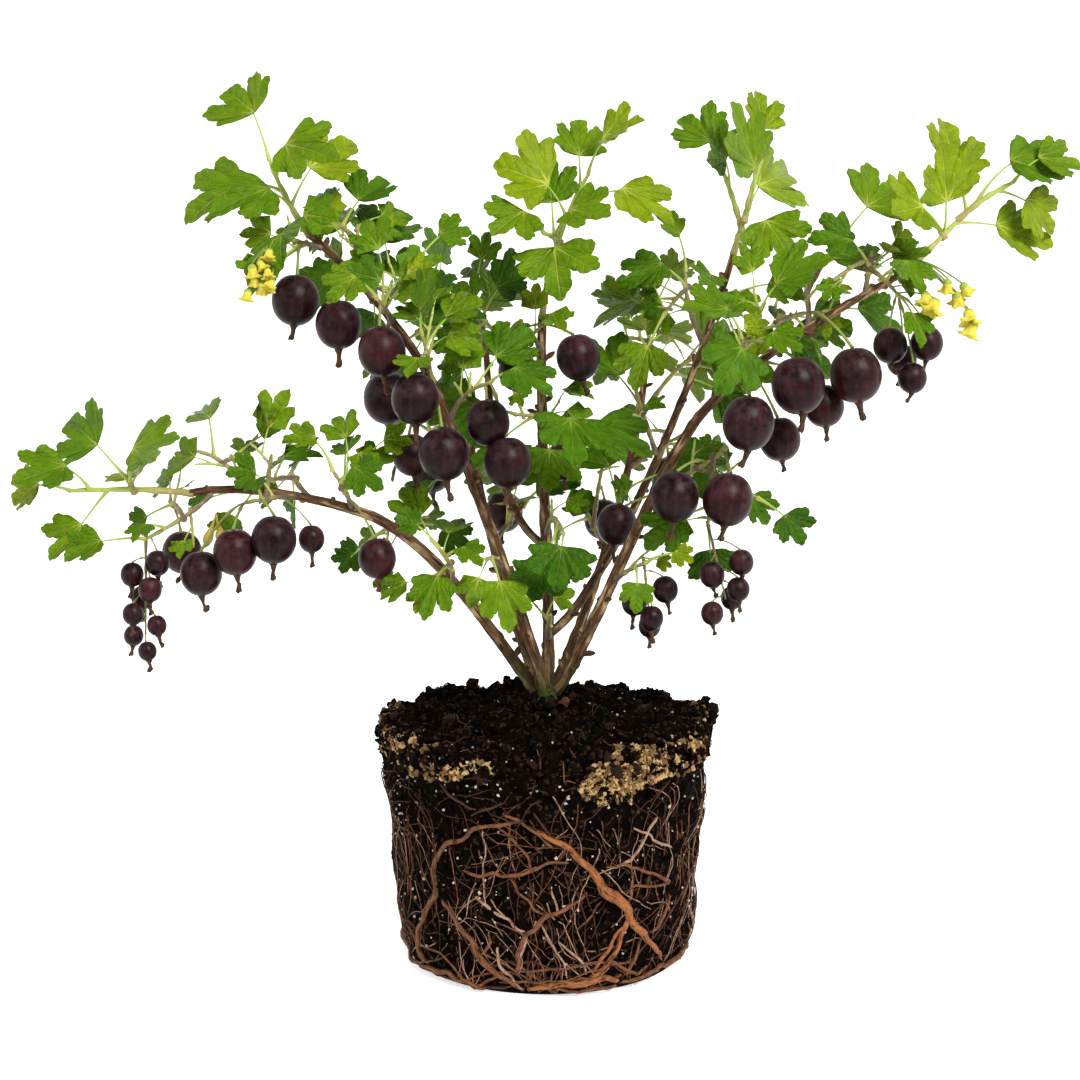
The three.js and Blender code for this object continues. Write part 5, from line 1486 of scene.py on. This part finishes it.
def add_node(tree, name, *values):
    """Adds a node of one of the kinds, with its settings and links, and gives its output."""
    kind, sockets, output, settings = KINDS.get(name, ("Math", (0, 1, 2), 0, {"operation": name}))
    node = tree.nodes.new("ShaderNode" + kind)
    for setting, choice in settings.items():
        setattr(node, setting, choice)
    fill(tree, node, dict(zip(sockets, values)))
    return node.outputs if output is None else node.outputs[output]


def new_finish(name, **sockets):
    """A material with one Principled shader whose sockets are set, and what adds its nodes."""
    finish = bpy.data.materials.new(name)
    finish.use_nodes = True
    wear(finish, **sockets)
    return finish, partial(add_node, finish.node_tree)


def wear(finish, **sockets):
    """Sets the shader's sockets, which are named with _ for a space, and gives the material."""
    shader = finish.node_tree.nodes["Principled BSDF"]
    values = {socket.replace("_", " "): value for socket, value in sockets.items()}
    fill(finish.node_tree, shader, values)
    return finish


def leaf_finish(name, blade, shade, vein, sunk, roughness):
    """Leaf skin, waxy on living cells: a soft, not quite matt green. The pattern's u is 0 on the
    middle vein of a lobe and 1 at its edge and v runs from petiole to rim. Main veins lie where
    u * v is small, side veins where 5.5 * v * (1 - 0.5 * u) is near a whole number. sunk is 1 on the
    upper face, where the veins are grooves, and -1 below, where they are ridges."""
    finish, add = new_finish(name, Roughness=roughness, Specular_IOR_Level=0.1)
    u, v, _ = add("parts", add("pattern"))
    main = add("ramp", add("MULTIPLY", u, v), 0.012, 0.05, 1.1, 0.0)
    narrowed = add("MULTIPLY_ADD", u, -0.5, 1.0)
    branch = add("MULTIPLY", add("MULTIPLY", v, 5.5), narrowed)
    past = add("PINGPONG", branch, 0.5)
    veins = add("MAXIMUM", main, add("ramp", past, 0.02, 0.11, 0.45, 0.0))
    where = add("scaled", add("place"), PER_MM)
    cloudy = add("noise", where, 1 / 9, 3.0, 0.55)
    fine = add("noise", where, 1 / 1.1, 1.0, 0.55)
    tone = add("mix", add("ramp", cloudy, 0.35, 0.65), blade, shade)
    tone = add("mix", add("ramp", v, 0.2, 1.0, 0.0, 0.25), tone, shade)
    tone = add("mix", add("MULTIPLY", veins, 0.55), tone, vein)
    quilt = add("MULTIPLY_ADD", past, 1.1, add("MULTIPLY", fine, 0.3))
    height = add("MULTIPLY_ADD", veins, -0.9 * sunk, quilt)
    return wear(finish, Base_Color=tone, Normal=add("bump", height, 0.55 * MM))


def berry_finish(name, skin, glow, stripe, bloom):
    """Ripe gooseberry skin: taut, smooth and wine-black under a thin dusty bloom, which spreads
    the highlights. The bloom's pale colour is also faded towards the calyx as painted shade, so the
    lower side is darker and the upper side lighter as if lit from above. The pale lines run from
    stalk to calyx, 13 round the fruit, some 5 mm apart on a large one. The pattern is the place in
    the berry, in its radii."""
    finish, add = new_finish(name, Specular_IOR_Level=0.12)
    x, y, z = add("parts", add("pattern"))
    where = add("scaled", add("place"), PER_MM)
    wander = add("MULTIPLY", add("noise", where, 1 / 6, 1.0, 0.55), 0.16)
    turn = add("ADD", add("ARCTAN2", y, x), wander)
    past = add("PINGPONG", add("MULTIPLY", turn, 13 / math.tau), 0.5)
    broken = add("ramp", add("noise", where, 1 / 1.6, 2.0, 0.55), 0.35, 0.65, 0.0, 0.5)
    line = add("MULTIPLY", add("ramp", past, 0.02, 0.22, 1.0, 0.0), broken)
    cloudy = add("ramp", add("noise", where, 1 / 10, 2.0, 0.55), 0.35, 0.7)
    tone = add("mix", line, add("mix", cloudy, skin, glow), stripe)
    bloom_and_painted_shade = add("ramp", add("noise", where, 1 / 3.5, 4.0, 0.65), 0.38, 0.72, 0.0, 0.34)
    # painted shade: the pale bloom fades towards the calyx, darkening the lower side and lightening the
    # upper
    bloom_and_painted_shade = add("MULTIPLY", bloom_and_painted_shade, add("ramp", z, -0.5, 0.7, 0.08, 1.15))
    tone = add("mix", bloom_and_painted_shade, tone, bloom)
    rough = add("ramp", bloom_and_painted_shade, 0.0, 0.42, 0.33, 0.5)
    pores = add("noise", where, 1 / 0.9, 2.0, 0.55)
    return wear(finish, Base_Color=tone, Roughness=rough, Normal=add("bump", pores, 0.05 * MM))


MOSS_HEIGHTS = (128, 156)  # the moss thins out between these heights, in millimetres


def bark_finish(name, bark, pale, cork, shine):
    """Gooseberry bark: thin grey-brown skin that peels in long pale strips over dark new bark, with
    moss near the soil. The pattern is the place on a straightened limb, so noise squeezed to a
    seventh along it is streaks 1 mm wide and 7 long."""
    finish, add = new_finish(name, Roughness=0.82, Specular_IOR_Level=shine)
    place = add("pattern")
    long = add("squeezed", place, (1, 1, 0.14))
    streak = add("noise", long, 1 / 0.9, 3.0, 0.6)
    strip = add("noise", long, 1 / 2.6, 2.0, 0.55)
    patch = add("noise", place, 1 / 7, 3.0, 0.55)
    tone = add("mix", add("ramp", streak, 0.35, 0.65), cork, bark)
    peeled = add("ramp", strip, 0.51, 0.61)
    peeled = add("MULTIPLY", peeled, add("ramp", patch, 0.4, 0.6, 0.25, 1.0))
    tone = add("mix", peeled, tone, pale)
    height = add("parts", add("scaled", add("place"), PER_MM))[2]
    mossy = add("ramp", height, *MOSS_HEIGHTS, 0.9, 0.0)
    mossy = add("MULTIPLY", mossy, add("ramp", patch, 0.35, 0.6, 0.35, 1.0))
    tone = add("mix", mossy, tone, add("mix", streak, cork, "#55602a"))
    lifted = add("MULTIPLY_ADD", peeled, 0.5, streak)
    return wear(finish, Base_Color=tone, Normal=add("bump", lifted, 0.5 * MM))


def shoot_finish(name, old, young, joint):
    """Young wood: a thin smooth rind, brown near its foot and green to straw at its growing end;
    the pattern's third number is the share of its length."""
    finish, add = new_finish(name, Roughness=0.55)
    run = add("parts", add("pattern"))[2]
    where = add("scaled", add("place"), PER_MM)
    fleck = add("noise", where, 1 / 1.6, 3.0, 0.55)
    share = add("MULTIPLY_ADD", fleck, 0.5, add("ADD", run, -0.25))
    tone = add("mix", add("ramp", share, 0.15, 0.6), old, young)
    ringed = add("ramp", add("noise", where, 1 / 2.4, 1.0, 0.55), 0.6, 0.72, 0.0, 0.6)
    tone = add("mix", ringed, tone, joint)
    return wear(finish, Base_Color=tone, Normal=add("bump", fleck, 0.25 * MM))


def soil_finish(name, dark, brown, fleck):
    """Moist peat compost: lumps of 5 mm and crumbs of 1.5 mm, near black and with no shine, with pale
    flecks in a few of its cells, of which there are 0.7 to a millimetre."""
    finish, add = new_finish(name, Roughness=0.95, Specular_IOR_Level=0.02)
    where = add("scaled", add("place"), PER_MM)
    lump = add("noise", where, 1 / 5, 4.0, 0.65)
    crumb = add("noise", where, 1 / 1.5, 3.0, 0.7)
    cells = add("cells", where, 0.7)
    tone = add("mix", add("ramp", lump, 0.4, 0.7), dark, brown)
    pale = add("ramp", add("channels", cells["Color"])[0], 0.9, 0.93)
    tone = add("mix", add("MULTIPLY", pale, 0.45), tone, fleck)
    height = add("MULTIPLY_ADD", cells["Distance"], -0.6, crumb)
    return wear(finish, Base_Color=tone, Normal=add("bump", height, 1.2 * MM))


def root_finish(name, light, dark):
    """Root rind: thin brown skin in wrinkles 0.7 mm wide and five times as long, mottled in 5 mm
    patches; its colour is darker in the wrinkles' grooves as painted shade and lighter on their
    ridges as painted highlight.
    """
    finish, add = new_finish(name, Roughness=0.7, Specular_IOR_Level=0.15)
    wrinkle = add("noise", add("squeezed", add("pattern"), (1, 1, 0.2)), 1 / 0.7, 3.0, 0.55)
    patch = add("noise", add("scaled", add("place"), PER_MM), 1 / 5, 2.0, 0.55)
    # painted shade in the wrinkles' grooves and painted highlight on their ridges, over random patches
    patches_and_painted_groove_shade = add("MULTIPLY_ADD", patch, 0.4, add("MULTIPLY", wrinkle, 0.8))
    tone = add("mix", add("ramp", patches_and_painted_groove_shade, 0.44, 0.66), dark, light)
    return wear(finish, Base_Color=tone, Normal=add("bump", wrinkle, 0.6 * MM))


def mottled(finish, add, light, dark, size, detail, grain, depth):
    """Two colours mottled over a size, and relief of a grain's size and depth, in millimetres."""
    where = add("scaled", add("place"), PER_MM)
    tone = add("mix", add("noise", where, 1 / size, detail, 0.55), light, dark)
    height = add("noise", where, 1 / grain, 2.0, 0.55)
    return wear(finish, Base_Color=tone, Normal=add("bump", height, depth * MM))


def grain_finish(name, light, dark, roughness=0.9):
    """Grit, crust and perlite: dull mineral grains, mottled over 1 mm."""
    made = new_finish(name, Roughness=roughness, Specular_IOR_Level=0.06)
    return mottled(*made, light, dark, 1.0, 3.0, 0.6, 0.3)


def petal_finish(name, light, dark):
    """Petal and dry papery tissue: thin, soft and matt, with a little light under its skin."""
    made = new_finish(name, Roughness=0.6, Specular_IOR_Level=0.15, Subsurface_Weight=0.2)
    wear(made[0], Subsurface_Scale=1.0 * MM)
    return mottled(*made, light, dark, 2.0, 2.0, 0.8, 0.2)


# Leaf tones from the shoot tips to the inside of the crown: name, upper face, its shade, its veins,
# then the same for the paler underside.
LEAF_TONES = [
    ("tip", "#7f9406", "#677e04", "#b9bf52", "#8c9c30", "#788a22", "#b4b868"),
    ("young", "#678606", "#507004", "#a0aa44", "#7e9232", "#6a7e24", "#a6ae60"),
    ("grown", "#5a7e05", "#466a03", "#8c9c38", "#70862e", "#5e7624", "#9ca662"),
    ("full", "#4a7205", "#375c03", "#7a8e30", "#647c2c", "#526a22", "#8e9e5e"),
    ("inner", "#3a6204", "#294c03", "#647c30", "#56742a", "#466022", "#7e9056"),
]
UPPER_ROUGH, UNDER_ROUGH = 0.42, 0.62
leaf_uppers = [leaf_finish(f"leaf_{row[0]}_upper", *row[1:4], 1, UPPER_ROUGH) for row in LEAF_TONES]
leaf_unders = [leaf_finish(f"leaf_{row[0]}_under", *row[4:], -1, UNDER_ROUGH) for row in LEAF_TONES]
berry_skins = [
    berry_finish("berry_skin_black", "#0a0304", "#220a0e", "#3c181c", "#5e4347"),
    berry_finish("berry_skin_wine", "#100405", "#300e13", "#471c20", "#68454a"),
    berry_finish("berry_skin_plum", "#0d0405", "#290c13", "#401b22", "#64454c"),
]
calyx_dry = petal_finish("calyx_dried_brown", "#5a4029", "#181009")
stalk_green = shoot_finish("stalk_green_brown", "#7d7a3a", "#7f8c3a", "#6a5a30")
bark_old = bark_finish("bark_peeling_brown", "#6a4729", "#b89a70", "#23150a", 0.3)
bark_stool = bark_finish("bark_stool_dark", "#2c2218", "#4e4428", "#100b07", 0.05)
shoot_new = shoot_finish("shoot_rind_green", "#94884c", "#9db048", "#b8a86a")
shoot_old = shoot_finish("shoot_rind_brown", "#6a5642", "#8e8a48", "#a58f6c")
stub_moss = bark_finish("stub_bark_mossy", "#2a2214", "#3f4a1e", "#0e0a06", 0.05)
bud_scales = petal_finish("bud_scales_red", "#5c2c18", "#2c180c")
petiole_green = shoot_finish("petiole_green", "#a9ad52", "#93b540", "#9aa54a")
soil_peat = soil_finish("soil_moist_peat", "#030201", "#120b07", "#463222")
crumb_dark = soil_finish("soil_crumb_dark", "#040302", "#170f0a", "#4a3624")
crumb_brown = grain_finish("soil_crumb_brown", "#2c1d13", "#120b07")
crust_tan = grain_finish("soil_crust_tan", "#d4b27c", "#7a5834")
crust_brown = grain_finish("soil_crust_brown", "#8e6e48", "#3a2818")
perlite_white = grain_finish("perlite_white", "#c9c2b6", "#978d7e", 0.8)
root_finishes = [
    root_finish("root_rind_orange", "#925a33", "#371c0e"),
    root_finish("root_rind_brown", "#72482d", "#2c180d"),
    root_finish("root_rind_pale", "#a2806a", "#563c2a"),
    root_finish("root_rind_dark", "#4a2d1d", "#1d100a"),
]
petal_yellow = petal_finish("flower_petal_yellow", "#ded04e", "#c0b23c")
petal_dried = petal_finish("flower_dried_tan", "#c08f4c", "#8d9440")
flower_green = petal_finish("flower_base_green", "#a3b452", "#87993a")


# --- The plant ---

INNER_MASSES = ["left_inner_rear", "left_rear", "upper_left_rear", "centre_lower", "centre_foot",
                "inner_right_lower", "right_low", "right_rear", "centre_middle", "inner_left"]
# Middle of the tones of a mass's leaves, counted from the palest: at the shoot tips, inside the crown
# and elsewhere. Then how much paler young leaves are, and the spread from leaf to leaf.
TIP_TONE, INNER_TONE, PLAIN_TONE = 0.8, 2.9, 2.15
YOUNG_PALER, TONE_SPREAD = 1.0, 0.8
# Leaf sizes by the start of a mass's name, as shares of the source leaf's radius.
LEAF_SIZES = {
    "upper_left_tip": (0.8, 1.05), "right_tip": (0.8, 1.05), "left_tip": (0.7, 0.95),
    "centre_tip": (0.72, 0.98), "inner_right_tip": (0.72, 0.98), "upper_left_berries": (0.45, 0.7),
    "upper_left": (0.66, 1.0), "right_low_clusters": (0.36, 0.5), "right": (0.6, 0.94),
    "left": (0.4, 0.68), "rear": (0.42, 0.7), "centre_upper": (0.5, 0.8),
    "inner_right_upper": (0.5, 0.8), "": (0.72, 1.08),
}
YOUNG_BY_FRUIT = 0.6  # size of young leaves beside the small clusters; elsewhere they are whole
# Radii of wood at its foot and its tip, and of petioles.
TWIG_THICK, TIP_TWIG_THICK = (1.4, 0.8), (1.7, 0.95)
FRUIT_TWIG_THICK, SHOOT_THICK = (0.75, 0.4), (0.85, 0.5)
PETIOLE_THICK, YOUNG_PETIOLE_THICK = 0.85, 0.55
OLD_RIND, NEW_RIND = range(2)  # the twigs' finishes


def foliage(names):
    """The nodes of some masses of foliage."""
    return ["foliage_" + name for name in names]


def region(name):
    """Which leaf piece a mass belongs to."""
    if name.startswith("rear"):
        return "rear"
    if name.startswith(("left", "upper_left", "middle_left")):
        return "left"
    return "right" if name.startswith("right") else "centre"


def tone_of(name, count, young, draw):
    """A tone for each leaf of a mass: palest at the shoot tips, deepest inside the crown."""
    inner = name in INNER_MASSES or name.startswith("rear")
    middle = TIP_TONE if name in TIP_MASSES else INNER_TONE if inner else PLAIN_TONE
    middle -= YOUNG_PALER if young else 0
    tones = np.rint(draw.normal(middle, TONE_SPREAD, count))
    return np.clip(tones, 0, len(LEAF_TONES) - 1).astype(int)


def add_blades(piece, name, leaves, sizes, young, draw):
    """The blades of some leaves of a mass, each in one tone with its paler underside."""
    points, places, faces = blades(leaves, sizes, young, draw)
    tone = tone_of(name, len(leaves), young, draw)
    under = tone + len(LEAF_TONES)
    piece.add(points, faces, [tone, tone, under, under, tone], places)


def add_leaves(part, draw):
    """One leaf piece: the grown and the young leaves of every mass in a part of the crown."""
    piece = Piece(f"leaves_{part}", leaf_uppers + leaf_unders)
    names = []
    for mass, leaves, (_, young) in zip(masses, mass_leaves, side_growth):
        name = mass.plan.name
        if region(name) != part:
            continue
        names.append(name)
        if leaves:
            sizes = next(sizes for start, sizes in LEAF_SIZES.items() if name.startswith(start))
            add_blades(piece, name, leaves, draw.uniform(*sizes, len(leaves)), False, draw)
        if young:
            size = YOUNG_BY_FRUIT if "clusters" in name else 1.0
            add_blades(piece, name, young, np.full(len(young), size), True, draw)
    piece.make(foliage(names), 80)


def add_growth(twigs, petioles):
    """Every mass's twigs, the twigs of its clusters, its side shoots and all its petioles."""
    for mass, leaves, (shoots, young) in zip(masses, mass_leaves, side_growth):
        is_tip = mass.plan.name in TIP_MASSES
        leafy = [twig.curve for twig in mass.twigs if twig.leaves]
        fruiting = [twig.curve for twig in mass.twigs if not twig.leaves]
        thick, rind = (TIP_TWIG_THICK, NEW_RIND) if is_tip else (TWIG_THICK, OLD_RIND)
        add_twigs(twigs, leafy, *thick, rind)
        if fruiting:
            add_twigs(twigs, fruiting, *FRUIT_TWIG_THICK, OLD_RIND)
        if shoots:
            add_twigs(twigs, shoots, *SHOOT_THICK, NEW_RIND)
        if leaves:
            add_petioles(petioles, leaves, PETIOLE_THICK)
        if young:
            add_petioles(petioles, young, YOUNG_PETIOLE_THICK)


draw = np.random.default_rng(2026)
side_growth = [grow_side_shoots(index, mass) for index, mass in enumerate(masses)]

for part in ("left", "centre", "right", "rear"):
    add_leaves(part, draw)

every_mass = foliage(plan.name for plan in mass_plans)
twigs = Piece("twigs", [shoot_old, shoot_new])
petioles = Piece("petioles", [petiole_green])
add_growth(twigs, petioles)
twigs.make(every_mass)
petioles.make(every_mass)

fruit = berries()
axes = hang(fruit, draw)
fruit_nodes = foliage(mass.plan.name for mass in masses if mass.fruit)
skins = Piece("berries", berry_skins)
add_berries(skins, fruit, axes, draw)
skins.make(fruit_nodes)
tails = Piece("berry_tails", [calyx_dry])
add_tails(tails, fruit, axes, draw)
tails.make(fruit_nodes)
stalks = Piece("berry_stalks", [stalk_green])
add_stalks(stalks, fruit, axes)
petals = Piece("flowers", [petal_yellow, flower_green, petal_dried])
add_flowers(petals, stalks, draw)
add_dried_flower(petals)
stalks.make(fruit_nodes)
petals.make(foliage([*FLOWERS, "left_berries"]))

wood = Piece("stems_and_boughs", [bark_old, bark_stool, stub_moss, bud_scales])
add_boughs(wood)
add_spurs(wood)
add_stool(wood)
add_stubs(wood)
wood.make(["stool", *BOUGH_PLAN])

soil = Piece("soil", [soil_peat, crust_tan])
ground = add_soil(soil)
soil.make(["root_ball"])
mound_row = int(np.argmax(ground[:, 0, 2] > MOUND_LOW))
crumbs = Piece("soil_crumbs", [crumb_dark, crumb_brown, perlite_white, crust_tan, crust_brown])
add_crumbs(crumbs, ground, mound_row, draw)
crumbs.make(["root_ball"], 30)

roots = Piece("roots", root_finishes)
add_courses(roots)
for row in FINE_ROOTS:
    add_fine_roots(roots, *row, draw)
add_fibres(roots, ground, mound_row, draw)
roots.make(["root_ball"])


# --- Stage, light and camera ---

STAGE_SIDES = 96
FLOOR_FLAT = 2.2  # radius of the level floor, in metres like all of the stage
FLOOR_RINGS, WALL_RINGS = 12, 14
WALL_REACH, WALL_RISE = 1.4, 3.2
GLOW_EDGE = (-0.9, -0.2)  # the paper turns from grey to glowing white from here to here
GLOW = 0.62
LIT_POINT = (0, 0, 0.25)
# Soft lights: name, place, side and watts.
LIGHTS = [("key", (1.0, -1.7, 1.9), 1.1, 80), ("fill", (-1.6, -1.3, 1.1), 1.2, 12)]
SKY = 0.26
CAMERA_PLACE = (-0.0031, -1.0, 0.345)
CAMERA_DOWN = 7.96  # degrees
CAMERA_LENS, CAMERA_SENSOR = 69.5, 36  # millimetres


def paper_finish(name, near, far):
    """Backdrop paper: matt and plain, greyer in front, and from the middle on glowing white with
    light of its own, painted light that also lights the bush.
    """
    finish, add = new_finish(name, Roughness=0.9, Emission_Color="#ffffff")
    ahead = add("parts", add("place"))[1]
    tone = add("mix", add("ramp", ahead, *GLOW_EDGE), near, far)
    glow = add("ramp", ahead, *GLOW_EDGE, 0.0, GLOW)
    return wear(finish, Base_Color=tone, Emission_Strength=glow)


def add_stage():
    """A pale floor that curves up into a wall all round: a profile turned round the upright axis."""
    curve = np.linspace(0.1, 1.5, WALL_RINGS)
    flat = np.linspace(0.02, FLOOR_FLAT, FLOOR_RINGS)
    reach = np.concatenate([flat, FLOOR_FLAT + np.sin(curve) * WALL_REACH])
    rise = np.concatenate([0 * flat, (1 - np.cos(curve)) * WALL_RISE])
    grid = polar(reach[:, None], turns(STAGE_SIDES), rise[:, None])
    fan = [(0, 1 + k, 1 + (k + 1) % STAGE_SIDES) for k in range(STAGE_SIDES)]
    faces = (grid_faces(len(reach), STAGE_SIDES, True)[:, ::-1] + 1).tolist() + fan
    mesh = bpy.data.meshes.new("floor")
    mesh.from_pydata([(0, 0, 0)] + grid.reshape(-1, 3).tolist(), [], faces)
    mesh.shade_smooth()
    mesh.materials.append(paper_finish("backdrop_paper", "#b0b0ae", "#fafaf9"))
    floor = bpy.data.objects.new("floor", mesh)
    bpy.context.scene.collection.objects.link(floor)


def add_light(name, place, size, watts):
    """A square soft light that faces the middle of the bush."""
    lamp = bpy.data.lights.new(name, "AREA")
    lamp.shape, lamp.size, lamp.energy = "SQUARE", size, watts
    light = bpy.data.objects.new(name, lamp)
    bpy.context.scene.collection.objects.link(light)
    light.location = place
    light.rotation_euler = (Vector(LIT_POINT) - Vector(place)).to_track_quat("-Z", "Y").to_euler()


add_stage()
for row in LIGHTS:
    add_light(*row)
world = bpy.data.worlds.new("studio")
world.use_nodes = True
fill(world.node_tree, world.node_tree.nodes["Background"], {"Color": "#ffffff", "Strength": SKY})
bpy.context.scene.world = world
bpy.context.scene.view_settings.view_transform = "Standard"

camera = bpy.data.objects.new("camera", bpy.data.cameras.new("camera"))
camera.data.lens, camera.data.sensor_width = CAMERA_LENS, CAMERA_SENSOR
camera.location = CAMERA_PLACE
camera.rotation_euler = (math.radians(90 - CAMERA_DOWN), 0, 0)
bpy.context.scene.collection.objects.link(camera)
bpy.context.scene.camera = camera

bpy.context.view_layer.update()
